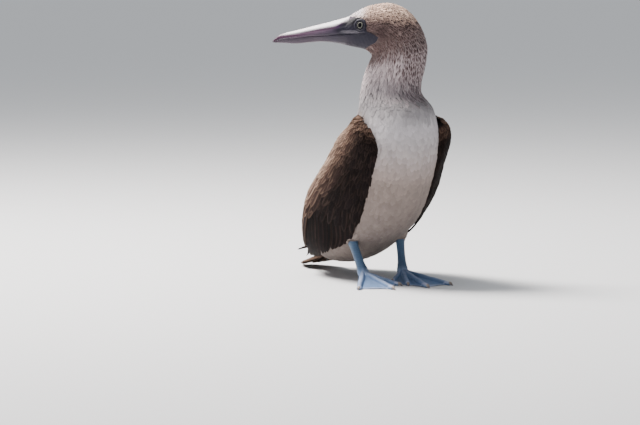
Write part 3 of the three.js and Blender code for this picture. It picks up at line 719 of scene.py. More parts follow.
def trunk_colours(p, q, turn):
    """The colours of the breast's, belly's and back's feathers: edge, dark middle, and its strength."""
    back = (1 - np.cos(turn)) / 2
    mantle = smoothstep(back, 0.72, 0.9) * smoothstep(q, 14.8, 16) * fall(q, 21.4, 22.2)
    rump = smoothstep(back, 0.5, 0.8) * smoothstep(q, 21.2, 22.2)
    # The breast's and belly's white darkened along the body as painted shade.
    edge = blend(WHITE, WARM_WHITE, smoothstep(q, 16.2, 17.8)) * np.interp(q, *TRUNK_PAINTED_SHADE.T)[:, None]
    edge = blend(edge, blend(PALE_EDGE, BROWN * 2.6, smoothstep(q, 15.5, 17)), mantle)
    edge = blend(edge, WARM_WHITE * 0.7, rump)
    dark = blend(edge * 0.72, blend(STREAK * 0.7, DARK_BROWN, smoothstep(q, 15, 16.5)), mantle)
    amount = np.maximum(lerp(0.5 * fall(q, 15.2, 17.6), 0.9, mantle), 0.7 * rump)
    # Brown feathers round the wing's upper end.
    distance, t = wing_distance(p)
    by_wing = fall(distance + rng.normal(0, 1.5, len(q)), 6, 12) * (t < 0.9)
    edge = blend(edge, PALE_EDGE, 0.9 * by_wing)
    dark = blend(dark, BROWN, by_wing)
    return edge, dark, np.maximum(amount, 0.9 * by_wing)


def wing_distance(p):
    """How far places are from the nearer wing, and how far down across it its nearest part is."""
    s, t = np.meshgrid(np.linspace(0, 7, 50), np.linspace(0, 1, 20), indexing="ij")
    distance, across = np.full(len(p), 1e9), np.zeros(len(p))
    for left in (False, True):
        grid = wing_patch(left).at(s, t)[0].reshape(-1, 3)
        for start in range(0, len(p), 4000):
            part = slice(start, start + 4000)
            apart = np.linalg.norm(p[part, None] - grid[None], axis=-1)
            near = apart.argmin(1)
            apart = apart[np.arange(len(near)), near]
            closer = apart < distance[part]
            distance[part] = np.where(closer, apart, distance[part])
            across[part] = np.where(closer, t.ravel()[near], across[part])
    return distance, across


def build_coat(name, patch, a_range, gap, stretch, length, width, rise, colours,
               outline=NARROW_OUTLINE, soft=0.5, jitter=0.7):
    """One joined piece of small feathers over part of a patch."""
    root = scatter(patch, a_range, gap, stretch, jitter)
    p = patch.at(root[:, 0], root[:, 1])[0]
    feathered = ~face_bare(p, 0.5)
    root, p = root[feathered], p[feathered]
    n = len(root)
    size = rng.uniform(0.88, 1.12, n)
    yaw = rng.normal(0, 0.1, n)
    tip = tip_places(patch, root, length(root[:, 0]) * size, yaw)
    lift = rise[1] * rng.uniform(0.7, 1.3, n)
    wide = width(root[:, 0]) * size
    made = vane_mesh(
        patch, root, tip, wide, outline, [rise[0], lift], COAT_THICKNESS, ACROSS_STREAK, camber=0.16,
    )
    edge, dark, amount = colours(p, root[:, 0], root[:, 1])
    marked = rng.random(n) < 0.5 + amount * 0.5
    amount = np.where(marked, np.minimum(amount * rng.uniform(1.0, 1.5, n), 1), amount * 0.3)
    vane, place = made["vane"], made["place"]
    middle = (np.abs(place[:, 1]) < 0.6) * (1 - 0.5 * smoothstep(place[:, 0], 0.6, 1)) * amount[vane]
    shade = 1 + 0.07 * rng.standard_normal((n, 1))
    tint = blend(edge[vane], dark[vane], middle) * shade[vane] * (0.92 + 0.12 * place[:, :1])
    tint = np.clip(tint, 0.005, 0.95)
    maps, normals = vane_maps(made, patch), soften(made, soft)
    obj = make_object(name, made["points"], made["faces"], SOFT_FEATHER, tint, maps, normals)
    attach(obj, "root")


def flat_value(value):
    return lambda a: value + 0 * np.asarray(a, float)


def ramp(q0, low, q1, high):
    return lambda a: lerp(low, high, smoothstep(a, q0, q1))


def body_coat():
    build_coat(
        "coat_head", body, (2.5, 9.5), ramp(2.5, 2.1, 9, 2.7), 1.5, ramp(2.5, 6, 9, 8),
        ramp(2.5, 2.7, 9, 3.4), (-0.4, 0.5), head_colours, soft=0.4,
    )
    build_coat(
        "coat_neck", body, (9, 15.6), ramp(9, 2.6, 15, 4), 1.7, ramp(9, 8.4, 15, 12),
        ramp(9, 3.2, 15, 5.2), (-0.5, 0.7), head_colours,
    )
    for name, a_range in (("coat_breast", (15, 19.5)), ("coat_belly", (19, 23.6))):
        build_coat(
            name, body, a_range, flat_value(5), 1.2, flat_value(18), flat_value(8.5),
            (-1.0, 0.5), trunk_colours, COAT_OUTLINE, 0.8, 0.5,
        )


def gape_height(forward):
    return np.interp(forward, GAPE[::-1, 0], GAPE[::-1, 1])


def bill_root_forward(height):
    """How far forward the bill's horn starts on the face at a height."""
    low = 83.9 - (height - 319.2) * 0.45
    return np.clip(low, 64, 86) + 5.4 * hump(height, 331, 5.5)


# The edge of the face's dark on the bill: its heights and how far forward it reaches.
WEDGE = np.array(
    [[314, 84], [322, 84], [330, 86], [334, 88], [338.5, 90], [344, 86], [350, 76], [356, 63]]
)


def past_wedge(forward, height):
    """How far in front of the face's dark a place lies."""
    return forward - np.interp(height, *WEDGE.T)


def face_tint(forward, height):
    """The bare face: dark slate blue, with a paler band behind the mouth, a violet brow, and painted
    shade over its upper part.
    """
    band = smoothstep(height, 331.8, 333.4) * fall(height, 336, 338)
    band = band * smoothstep(forward, 44, 56) * fall(forward, 70, 84)
    brow = smoothstep(past_wedge(forward, height), -9, -3) * smoothstep(height, 338, 342)
    tint = blend(FACE, FACE_PALE, 0.6 * band)
    tint = blend(tint, VIOLET, 0.85 * brow)
    # Painted shade: the face darker towards the top, against the light that falls there.
    tint = tint * lerp(1, 0.4, smoothstep(height, 341, 349))[..., None]
    chin = smoothstep(forward, 56, 84) * fall(height, 327, 333)
    return blend(tint, BILL_GREY * 0.8, 0.6 * chin)


def face_share(forward, height):
    """How much of the face's colour shows at a place on the bill or its root."""
    blur = lerp(14, 4, smoothstep(height, 330, 345))
    return fall(past_wedge(forward, height) / blur, -1, 0.6)


def skin_depth(p, q, forward, height, on_face):
    """How deep the skin lies under the body's surface, for the coat and the bare face's forms."""
    depth = lerp(lerp(0.9, 1.9, smoothstep(q, 9, 16)), 0.0, on_face)
    # The mouth's line on the cheek, and the folds that run along it.
    gap = height - gape_height(forward)
    cheek = on_face * smoothstep(forward, 43, 50)
    folded = 0.5 * hump(gap, 2.6, 1.6) + 0.35 * hump(gap, -2.2, 1.4)
    depth = depth + cheek * (0.9 * hump(gap, 0, 0.7) - folded)
    folds = np.sin(forward * 1.1 + height * 0.35) * np.sin(height * 0.9 - forward * 0.2)
    depth = depth - on_face * 0.1 * folds
    # The hollow round each eye.
    for side in (1, -1):
        middle = eye_centre(side) + eye_outward(side) * EYE_SINK
        distance = np.linalg.norm(p - middle, axis=-1)
        depth = depth + 0.8 * hump(distance, 9.5, 2.4) * on_face + 5.5 * fall(distance, 3.8, 6.2)
    # The face's skin sinks under the bill's root.
    return depth + 1.1 * smoothstep(forward - bill_root_forward(height), -1.2, 0.9) * (q < 7)


def build_skin():
    rows, cols, sparse = 520, 256, 8
    q = np.interp(np.linspace(0, 1, rows), [0, 0.55, 1], [0, 9, Q_END])
    q, turn = np.meshgrid(q, full_circle(cols), indexing="ij")
    p, _, _, out = body.at(q, turn)
    forward, height, _ = head_axes(p)
    on_face = smoothstep(past_face_edge(forward, height), -2.5, 0.5) * (height > FACE_BOTTOM) * (q < 9)
    points = (p - out * skin_depth(p, q, forward, height, on_face)[..., None]).reshape(-1, 3)
    # Under the coat the skin has the coat's colours, the trunk's from every eighth place.
    places = (p.reshape(-1, 3), q.ravel(), turn.ravel())
    edge, dark, amount = head_colours(*places)
    high = blend(edge, dark, 0.6 * amount)
    edge, dark, amount = trunk_colours(*(value[::sparse] for value in places))
    # Under the coat the skin has the coat's colours, the trunk's from every eighth place, darkened as
    # painted shade.
    low = np.repeat(blend(edge, dark, 0.6 * amount), sparse, 0)
    under_coat = blend(high, low, smoothstep(places[1], 15, 15.6)) * UNDER_COAT_SHADE
    tint = np.where(face_bare(p)[..., None], face_tint(forward, height), under_coat.reshape(p.shape))
    tint = tint.reshape(-1, 3)
    ends = np.array([points[:cols].mean(0), points[-cols:].mean(0)])
    faces = [grid_faces(rows, cols, wrap_cols=True)] + end_fans(rows, cols, len(points))
    parts = [(np.concatenate([points, ends]), faces)]
    tints = [tint, tint[:1], tint[-1:]]
    rows, cols = 50, 48
    places = np.linspace(0, len(THIGH_RINGS) - 1, rows), full_circle(cols)
    p, _, _, out = thigh_patch().at(*np.meshgrid(*places, indexing="ij"))
    under = (p - out * THIGH_COAT_DEPTH).reshape(-1, 3)
    for left in (False, True):
        parts.append((mirror(under, left), closed_faces(rows, cols)))
        # Painted shade: the thighs' skin is darkened white.
        tints.append(np.tile(WARM_WHITE * 0.25, (rows * cols, 1)))
    obj = make_object("skin", *joined(parts), SKIN, np.concatenate(tints))
    fix_facing(obj)
    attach(obj, "root")
    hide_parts("head", "neck", "torso", "thigh_left", "thigh_right")


# The lids' section, from the opening outwards: how far out and how high.
LIDS = np.array(
    [
        [3.7, 0.2], [4.3, 0.95], [4.7, 1.35], [5.2, 1.55], [5.7, 1.35], [6.1, 0.85], [6.5, 0.8],
        [7.0, 1.05], [7.5, 0.95], [8.2, 0.35], [9.0, -0.5], [9.6, -1.6], [8.0, -3.6], [4.6, -3.0],
    ]
)
EYE_BULGE = 0.045


def around_axis(turn, across, up):
    """Directions across an axis, one for each turn round it."""
    return np.cos(turn)[..., None] * across + np.sin(turn)[..., None] * up


def build_eyeball(name, material, centre, axis, across, up):
    rings, spokes = 48, 64
    from_front = math.pi * np.linspace(0, 1, rings + 1)[1:-1]
    polar, turn = np.meshgrid(from_front, full_circle(spokes), indexing="ij")
    radius = EYEBALL_RADIUS * (1 + EYE_BULGE * hump(polar, 0, 0.42))[..., None]
    outward = np.cos(polar)[..., None] * axis + np.sin(polar)[..., None] * around_axis(turn, across, up)
    poles = axis * EYEBALL_RADIUS * np.array([[1 + EYE_BULGE], [-1]])
    local = np.concatenate([(outward * radius).reshape(-1, 3), poles])
    uv = np.stack([local @ across, local @ up], 1) / (2 * EYEBALL_RADIUS) + 0.5
    rows = rings - 1
    faces = [grid_faces(rows, spokes, wrap_cols=True)] + end_fans(rows, spokes, len(local) - 2)
    obj = make_object("eyeball_" + name, centre + local, faces, material, uvs={"Iris": uv})
    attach(obj, "root")
    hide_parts("eye_" + name)


def build_lids(name, centre, axis, across, up):
    """A low ring of bare lids with an oval opening, drawn out a little at both corners."""
    spokes = 96
    turn = full_circle(spokes)
    radius, height = LIDS[:, :1], LIDS[:, 1:]
    inner = fall(radius, 3.5, 7.5)
    oval = 1 + inner * (0.02 - 0.1 * np.cos(2 * turn)) + inner * 0.1 * np.maximum(np.cos(turn), 0) ** 6
    wobble = 0.06 * np.sin(9 * turn + radius) * smoothstep(radius, 4.5, 6)
    reach = radius * oval
    # Heights count from the eyeball's surface near the opening and from the skin further out.
    dome = np.sqrt(np.maximum((EYEBALL_RADIUS + 0.15) ** 2 - np.minimum(reach, 8) ** 2, 0))
    inside = fall(radius, 4.6, 7.2)
    lift = lerp(EYE_SINK, dome, inside) + height * lerp(1.0, 0.55, inside) + wobble
    points = centre + around_axis(turn, across, up) * reach[..., None] + axis * lift[..., None]
    tint = blend(FACE * 0.35, FACE * 0.95, smoothstep(LIDS[:, 0], 4.0, 8.5))
    faces = grid_faces(len(LIDS), spokes, wrap_rows=True, wrap_cols=True)
    obj = make_object("lids_" + name, points.reshape(-1, 3), [faces], SKIN, np.repeat(tint, spokes, 0))
    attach(obj, "root")


def build_eyes():
    material = eye_material()
    for name, side in (("left", -1), ("right", 1)):
        centre, axis = eye_centre(side), eye_outward(side)
        up = unit(UP - axis * axis[2])
        across = np.cross(up, axis)
        build_eyeball(name, material, centre, axis, across, up)
        build_lids(name, centre, axis, across, up)


BILL_FIRST_ROW = 11
BILL_ROWS = np.array([row[:5] for row in HEAD[BILL_FIRST_ROW:]], float)
HORN_START = 62.0  # forward, under the face's skin
HORN_SUNK = 1.4
MOUTH_GAP = 0.14  # each half's distance from the mouth's line
GROOVE_DEPTH = 0.5
TEETH = {"height": 0.22, "radians": 2.2}


def bill_section(forward):
    """The bill's top, bottom and half width at a place along it."""
    middles = (BILL_ROWS[:, 0] + BILL_ROWS[:, 2]) / 2
    values = along(BILL_ROWS, np.interp(forward, middles, np.arange(len(middles))))
    return values[..., 3], values[..., 1], values[..., 4]


def bill_tint(forward, height, top, bottom):
    """Grey with a mauve cast, with a painted highlight nearly white along the ridge, and purple on the
    outer half.
    """
    outer = smoothstep(forward, 92, 150)
    up = np.clip((height - bottom) / np.maximum(top - bottom, 1), 0, 1)
    base = blend(BILL_GREY, BILL_MAUVE, smoothstep(up, 0.4, 0.55))
    by_face = fall(forward, 80, 124) * smoothstep(up, 0.4, 0.5)
    base = blend(base, FACE * 1.5, 0.75 * by_face)
    under_face = fall(forward, 74, 116) * fall(up, 0.4, 0.5)
    base = blend(base, FACE * 1.5, 0.9 * under_face)
    purple = np.maximum(outer * smoothstep(up, 0.45, 0.58), hump(up, 0.7, 0.07))
    base = blend(base, BILL_TIP * 0.8, 0.8 * purple)
    # A painted highlight along the ridge, fading before the tip.
    ridge_highlight = smoothstep(up, 0.7, 0.86) * fall(forward, 146, 166)
    base = blend(base, PAINTED_HIGHLIGHT, 0.95 * ridge_highlight)
    end = smoothstep(forward, 158, 172)
    base = blend(base, BILL_TIP * 0.5, 0.85 * end)
    return blend(base, face_tint(forward, height), face_share(forward, height))


def build_bill():
    """The two halves of the horn, from under the face's skin to the tip."""
    stations, columns = 110, 40
    forward = lerp(HORN_START, BILL_ROWS[-1, 0] + 0.6, np.linspace(0, 1, stations) ** 0.9)[:, None]
    top, bottom, wide = bill_section(forward)
    mouth = np.clip(gape_height(forward), bottom + 0.35, top - 0.35)
    sunk = HORN_SUNK * fall(forward, HORN_START, 74)
    top, bottom, wide = top - sunk, bottom + sunk, wide - sunk
    # Round the outside from one cutting edge over the ridge, or under the keel, to the other.
    turn = math.pi * np.arange(columns) / (columns - 1)
    c = np.cos(turn)
    for name, upper in (("upper", True), ("lower", False)):
        far = top if upper else bottom
        height = mouth + (far - mouth) * np.sin(turn) ** (0.8 if upper else 0.75)
        full = (height - bottom) / (top - bottom)
        width = wide * np.sqrt(np.clip(1 - (2 * full - 1) ** 2, 0.0, 1)) ** 0.9
        side = c / np.maximum(np.abs(c), 1e-6) * width * np.minimum(np.abs(c) ** 0.35 * 1.15, 1)
        if upper:
            # A groove runs along each side from the face towards the tip.
            place = (height - mouth) / np.maximum(top - mouth, 0.5)
            depth = GROOVE_DEPTH * fall(forward, 140, 160) * hump(place, 0.52, 0.09)
            side = side - np.sign(side) * depth
        # Small saw teeth along the cutting edges near the tip.
        teeth = TEETH["height"] * np.sin(forward * TEETH["radians"])
        teeth = teeth * smoothstep(forward, 120, 140) * (np.abs(c) > 0.98)
        height = height + teeth * (1 if upper else -0.6)
        # The inside is nearly flat, so that the two halves meet.
        inner_turn = np.linspace(-1, 1, 8)[1:-1]
        edge = np.abs(side[:, :1])
        roof = (0.3 if upper else -0.3) * np.minimum(edge, 2) * (1 - inner_turn**2)
        gap = MOUTH_GAP if upper else -MOUTH_GAP
        outer = head_point(forward, height + gap, side)
        ring = np.concatenate([outer, head_point(forward, mouth + gap + roof, edge * inner_turn)], 1)
        cols = ring.shape[1]
        heights = np.concatenate([height, np.broadcast_to(mouth, roof.shape)], 1)
        tint = bill_tint(np.broadcast_to(forward, heights.shape), heights, top, bottom)
        faces = closed_faces(stations, cols)
        if not upper:
            faces = [group[:, ::-1] for group in faces]
        obj = make_object("horn_" + name, ring.reshape(-1, 3), faces, BILL, tint.reshape(-1, 3))
        fix_facing(obj)
        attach(obj, "root")
        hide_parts("bill_" + name)


# The right wing's outer surface, folded: sections from the wrist to the tip, each with its upper,
# middle and lower point. Those over the body are given by the body's section, the turn round it and
# the height over it.
def on_body(t, turn, height):
    return torso_point(np.array(t), np.array(math.radians(turn)), height).tolist()


WING = [
    on_body(0.05, 138, -2) + on_body(0.12, 87, 10) + on_body(0.38, 60, 13),
    on_body(0.55, 151, 0) + on_body(0.72, 90, 16.5) + on_body(1, 52, 14),
    on_body(1.2, 156, 7) + on_body(1.55, 101, 19) + on_body(1.8, 50, 9),
    on_body(2.1, 158, 9) + on_body(2.5, 104, 23) + on_body(2.55, 48.5, 8),
    on_body(3, 160, 10) + on_body(3.45, 107, 26) + on_body(3.25, 45.5, 7),
    on_body(4, 162, 10) + on_body(4.4, 108, 27) + [-49, 20, 57],
    on_body(4.9, 163, 9) + on_body(5.3, 106, 24) + [-55, 60, 40],
    on_body(5.8, 164, 7) + on_body(6.2, 104, 20) + [-48, 105, 27],
    [-12, 196, 46, -37, 182, 38, -36, 152, 22],
    [-8, 230, 26, -20, 226, 24, -27, 202, 19.5],
    [-5, 257, 14, -9, 258, 13, -12, 253, 12],
]
WING_END = len(WING) - 1
WING_DEPTH = [[15], [17], [17], [16], [14], [11], [8], [6], [4], [2.6], [1.5]]
WING_CROSSING = {"start": 7, "end": 10, "right": 9, "left": -24}
WING_LIFT = {"start": 6, "end": 8.6, "lift": 10}
LEFT_TUCK = {"start": 4, "middle": 6.3, "end": 8.5, "lift": 14}
WING_T = (-0.15, 1.15)


def wing_point(left, s, t):
    rows = along(WING, s)
    upper, middle, lower = rows[..., 0:3], rows[..., 3:6], rows[..., 6:9]
    t1 = t[..., None]
    p = upper * (1 - t1) * (1 - 2 * t1) + middle * 4 * t1 * (1 - t1) + lower * t1 * (2 * t1 - 1)
    crossed = smoothstep(s, WING_CROSSING["start"], WING_CROSSING["end"])
    if not left:
        p[..., 0] += WING_CROSSING["right"] * crossed
        return p
    tuck = LEFT_TUCK
    tucked = smoothstep(s, tuck["start"], tuck["middle"]) - smoothstep(s, tuck["middle"], tuck["end"])
    lifted = smoothstep(s, WING_LIFT["start"], WING_LIFT["end"]) * WING_LIFT["lift"]
    p[..., 0] = -p[..., 0] + WING_CROSSING["left"] * crossed
    p[..., 2] += lifted + tuck["lift"] * tucked * t**2
    return p


def wing_patch(left):
    """The wing's outer surface, rolled over along its upper and lower edges."""
    s, t = np.meshgrid(np.linspace(0, WING_END, 400), np.linspace(*WING_T, 90), indexing="ij")
    inside = np.clip(t, 0, 1)
    beyond = np.abs(t - inside)
    flat = wing_point(left, s, inside + (t - inside) * 0.35)
    corner = (fall(s, 2, 3) * fall(t, 0.1, 0.4))[..., None]
    reach = 20
    padded = np.concatenate([flat[:1].repeat(reach, 0), flat, flat[-1:].repeat(reach, 0)])
    summed = np.cumsum(np.concatenate([0 * padded[:1], padded]), axis=0)
    even = (summed[2 * reach + 1 :] - summed[: -2 * reach - 1]) / (2 * reach + 1)
    flat = lerp(flat, even, corner)
    out = unit(np.cross(np.gradient(flat, axis=0), np.gradient(flat, axis=1)))
    if np.mean(out[50:200, 30:60, 0]) * (1 if left else -1) < 0:
        out = -out
    depth = along(WING_DEPTH, s)[..., 0]
    drop = depth * (0.3 * (2 * inside - 1) ** 4 + beyond * 4.5)
    drop = drop + 9 * np.clip(1 - s / 0.7, 0, 1) ** 2 * smoothstep(t, 0.1, 0.5)
    return Patch(flat - out * drop[..., None], (0, WING_END), WING_T, (1 if left else -1, 0, 0.3))


VANE_OUTLINE = [
    [0, 0.45], [0.08, 0.7], [0.2, 0.9], [0.35, 1], [0.5, 1], [0.65, 0.98],
    [0.78, 0.9], [0.88, 0.74], [0.95, 0.5], [0.985, 0.26], [1, 0.08],
]
ROUND_OUTLINE = [[0, 0.5], [0.3, 0.95], [0.6, 1], [0.82, 0.85], [0.94, 0.52], [1, 0.12]]
LONG_OUTLINE = [[0, 0.5], [0.2, 0.85], [0.45, 1], [0.7, 0.95], [0.88, 0.7], [0.96, 0.4], [1, 0.1]]
ACROSS_WIDE = [-1, -0.86, -0.45, 0, 0.45, 0.86, 1]
ACROSS_SMALL = [-1, -0.7, 0, 0.7, 1]


def join_vanes(parts):
    """Several sets of vanes as one."""
    keys = ("place", "normals", "root", "length", "width", "tint")
    out = {key: np.concatenate([part[key] for part in parts]) for key in keys}
    out["points"], out["faces"] = joined([(part["points"], part["faces"]) for part in parts])
    starts = np.cumsum([0] + [len(part["root"]) for part in parts])
    out["vane"] = np.concatenate([part["vane"] + start for part, start in zip(parts, starts)])
    return out


def wing_tone(s, t):
    """A wing feather's middle, its edge and how much the edge shows: warm and light over the back as
    painted light, nearly black in front as painted shade, and darker below."""
    back = fall(t, 0.26, 0.66)
    # Painted light: the wing's upper back warmer and paler, with paler edges showing more.
    lit = back * smoothstep(s, 0.3, 1.6) * (1 - 0.7 * smoothstep(s, 4.6, 6.4))
    wrist = fall(s, 0.2, 1.8) * fall(t, 0.35, 0.85)
    # Painted shade: the front, lower part of the wing nearly black.
    front = smoothstep(t + 0.03 * (s - 3), 0.46, 0.8) * smoothstep(s, 0.1, 0.9)
    low = smoothstep(s, 7.4, 9)
    middle = blend(BROWN, BROWN * 1.6, lit)
    middle = blend(middle, BLACK_BROWN * 0.5, 0.95 * front)
    middle = blend(middle, DARK_BROWN, 0.5 * low * (1 - front))
    edge = blend(PALE_EDGE, LIT_EDGE, lit)
    shows = 0.45 + 0.5 * lit + 0.2 * wrist * (1 - lit) + 0.25 * smoothstep(s, 5, 6.5)
    shows = shows * (1 - 0.93 * front) * (1 - 0.2 * low)
    return middle, edge, shows


def even_tone(count, middle, edge, shows):
    """The same tone for count vanes."""
    return np.tile(middle, (count, 1)), np.tile(edge, (count, 1)), np.full(count, shows)


def paint_vanes(made, middle, edge, shows, tip_share=1.0, shaft=0.0, seed=0):
    """Each vane's tint: its own tone, with paler edges and tip, and a shaft."""
    local = np.random.default_rng(seed)
    n = len(made["root"])
    shows = np.clip(shows * local.uniform(0.1, 1.9, n), 0, 1)
    middle = middle * np.exp(0.25 * local.standard_normal((n, 1)))
    vane, place = made["vane"], made["place"]
    across = np.abs(place[:, 1])
    pale = smoothstep(across, 0.35, 0.95) * smoothstep(place[:, 0], 0.05, 0.4)
    pale = np.maximum(pale, smoothstep(place[:, 0], 0.9, 1) * tip_share) * shows[vane]
    tint = blend(middle[vane], edge[vane], pale)
    tint = tint * (1 - 0.3 * shaft * (across < 0.1))[:, None]
    tint = tint * lerp(0.8, 1.05, smoothstep(place[:, 0], 0, 0.8))[:, None]
    made["tint"] = np.clip(tint, 0.003, 0.95)
    return made


def wing_core(left, patch):
    """The wing's flesh under its feathers."""
    stations, columns = 60, 28
    s, share = np.meshgrid(np.linspace(0.4, 6.2, stations), np.linspace(0, 1, columns), indexing="ij")
    start = smoothstep(s, 0.4, 1.8)
    p, _, _, out = patch.at(s, lerp(lerp(0.2, -0.03, start), lerp(0.8, 1.02, start), share))
    sunk = 2.6 + 1.8 * smoothstep(s, 4.4, 6.2)
    depth = np.maximum(along(WING_DEPTH, s)[..., 0] - 1.5, sunk + 0.6)
    ring = np.concatenate([p - out * sunk[..., None], (p - out * depth[..., None])[:, ::-1]], 1)
    faces = closed_faces(stations, 2 * columns)
    if left:
        faces = [group[:, ::-1] for group in faces]
    points = ring.reshape(-1, 3)
    side = "left" if left else "right"
    tint = np.tile(DARK_BROWN * 1.6, (len(points), 1))
    obj = make_object("wing_core_" + side, points, faces, SKIN, tint)
    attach(obj, "root")
    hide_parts("wing_left" if left else "wing_right")


PRIMARIES = 9
PRIMARY_SPACING = 0.8


def primary_tip(j):
    return 7.5 + 2.45 * np.asarray(j) / (PRIMARIES - 1)


def primary_sink(a, j):
    """How deep the primaries lie under the surface: each under all those that still cover it."""
    layers = np.zeros_like(a)
    for i in range(PRIMARIES):
        covers = fall(a, primary_tip(i) - 0.2, primary_tip(i) + 0.5)
        layers += np.where(i < j[:, None], covers, 0)
    return 0.9 + PRIMARY_SPACING * layers


def wing_feathers(left):
    side = "left" if left else "right"
    patch = wing_patch(left)
    wing_core(left, patch)
    seed = 20 if left else 40
    local = np.random.default_rng(seed)
    small = []

    def band(s_range, gap, stretch, length, width, outline, rise, keep, tip_share):
        root = scatter(patch, s_range, flat_value(gap), stretch)
        root = root[keep(root[:, 0], root[:, 1])]
        n = len(root)
        size = local.uniform(0.85, 1.15, n)
        tip = tip_places(patch, root, length * size, local.normal(0, 0.05, n))
        lift = rise[1] + local.uniform(-0.15, 0.3, n)
        made = vane_mesh(
            patch, root, tip, width * size, outline, (rise[0], lift), 0.3, ACROSS_SMALL,
            camber=0.1, tilt=0.12,
        )
        tone = wing_tone(*lerp(root, tip, 0.4).T)
        small.append(paint_vanes(made, *tone, tip_share, seed=seed + len(small)))

    def off_corner(s, t):
        return (t > 0.12 * (1.3 - s)) & (s > 0.8 * (t - 0.7))

    def over_quills(s, t):
        return t < 0.8 - 0.2 * (s - 3.4)

    band((0.0, 1.0), 3.4, 1.1, 10, 5.2, ROUND_OUTLINE, (-1.5, 0.5), off_corner, 0.8)
    band((0.8, 1.8), 3.8, 2.0, 18, 6.0, LONG_OUTLINE, (-1.5, 0.5), off_corner, 0.5)
    band((1.6, 2.8), 4.4, 3.2, 32, 7.4, LONG_OUTLINE, (-1.6, 0.5), lambda s, t: t < 1.1, 0.25)
    band((2.6, 3.6), 5.0, 4.0, 44, 8.6, LONG_OUTLINE, (-1.7, 0.4), lambda s, t: t < 1.05, 0.2)
    band((3.4, 4.8), 5.6, 4.0, 52, 9.6, LONG_OUTLINE, (-1.7, 0.3), over_quills, 0.2)

    def row(count, first, last, width, rise, thick, tip_share, spread=0.1):
        """Quills side by side, from the first one's root and tip to the last one's."""
        f = np.linspace(0, 1, count)[:, None]
        root, tip = (lerp(np.array(first[end]), np.array(last[end]), f) for end in (0, 1))
        tip[:, 0] += local.normal(0, spread, count)
        lift = (rise[0], rise[1] + np.linspace(0, 0.5, count))
        made = vane_mesh(
            patch, root, tip, np.linspace(*width, count), VANE_OUTLINE, lift, thick, ACROSS_WIDE,
            camber=0.05, tilt=0.35,
        )
        tone = wing_tone(*lerp(root, tip, 0.7).T)
        return paint_vanes(made, *tone, tip_share, shaft=0.5, seed=seed + count)

    large = [
        row(16, ((3.1, 0.1), (5.0, 0.2)), ((2.9, 0.92), (4.55, 1.01)), (13, 10), (-1.6, 0.5), 0.5, 0.6),
        row(
            17, ((5.2, 0.38), (8.5, 0.92)), ((3.2, 0.93), (5.2, 1.03)), (12, 10), (-1.5, 0.2), 0.6, 0.4,
            spread=0.13,
        ),
        row(8, ((3.4, 0.03), (7.4, 0.06)), ((3.7, 0.5), (7.2, 0.7)), (17, 15), (-1.2, 1.0), 0.6, 0.5),
    ]
    j = np.arange(PRIMARIES)
    f = j / (PRIMARIES - 1)
    root = np.stack([np.full(PRIMARIES, 5.1), 0.22 + 0.66 * f], 1)
    tip = np.stack([primary_tip(j), 0.3 + 0.3 * f], 1)
    made = vane_mesh(
        patch, root, tip, 17 - 4 * f, VANE_OUTLINE, (0, 0), 0.5, ACROSS_WIDE,
        sink=lambda a: primary_sink(a, j),
    )
    large.append(paint_vanes(made, *even_tone(PRIMARIES, BLACK_BROWN, BROWN, 0.2), 0.5, 0.3, seed))

    for name, parts, soft in (("coverts_" + side, small, 0.4), ("flight_" + side, large, 0.0)):
        made = join_vanes(parts)
        normals = soften(made, soft) if soft else None
        maps = vane_maps(made, patch)
        obj = make_object(name, made["points"], made["faces"], STIFF_FEATHER, made["tint"], maps, normals)
        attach(obj, "root")


# The tail.
TAIL_ROOT = np.array([0, 168, 29])
TAIL_TIP = np.array([0, 258, 0.6])
TAIL_PAIRS = 7
TAIL_SPACING = 0.95  # between the layers of feathers
TAIL_LENGTH = 90
TAIL_SHORTER = 7.4  # from each pair to the next one out
TAIL_FAN = 2.9  # degrees from each pair to the next one out


def build_tail():
    a_range, b_range = (-20, 110), (-60, 60)
    a, b = np.meshgrid(np.linspace(*a_range, 40), np.linspace(*b_range, 30), indexing="ij")
    slope = (TAIL_TIP[2] - TAIL_ROOT[2]) / (TAIL_TIP[1] - TAIL_ROOT[1])
    grid = np.stack([b, TAIL_ROOT[1] + a, TAIL_ROOT[2] + slope * a], -1)
    patch = Patch(grid, a_range, b_range, (0, 0, 1))
    roots, tips, layers, widths = [], [], [], []
    for i in range(TAIL_PAIRS):
        for side in (1, -1):
            topmost = side > 0 and i == 0
            length = TAIL_LENGTH - TAIL_SHORTER * i - (3 if topmost else 0)
            turn = math.radians(1 + TAIL_FAN * i) * side
            start = side * (2.4 + 1.3 * i)
            roots.append([0, start])
            tips.append([math.cos(turn) * length, start + math.sin(turn) * length])
            layers.append(-1 if topmost else i)
            widths.append(16 - 0.5 * i)
    rise = 0.3 - np.array(layers) * TAIL_SPACING
    made = vane_mesh(
        patch, roots, tips, widths, VANE_OUTLINE, (rise, rise), 0.5, ACROSS_WIDE, camber=0.04,
    )
    made["points"][:, 2] = np.maximum(made["points"][:, 2], 0.1)
    paint_vanes(made, *even_tone(len(roots), DARK_BROWN * 1.1, PALE_EDGE, 0.3), 0.8, 0.5, 5)
    points, faces = made["points"], made["faces"]
    obj = make_object(
        "tail_feathers", points, faces, STIFF_FEATHER, made["tint"], vane_maps(made, patch),
    )
    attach(obj, "root")
    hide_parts("tail")


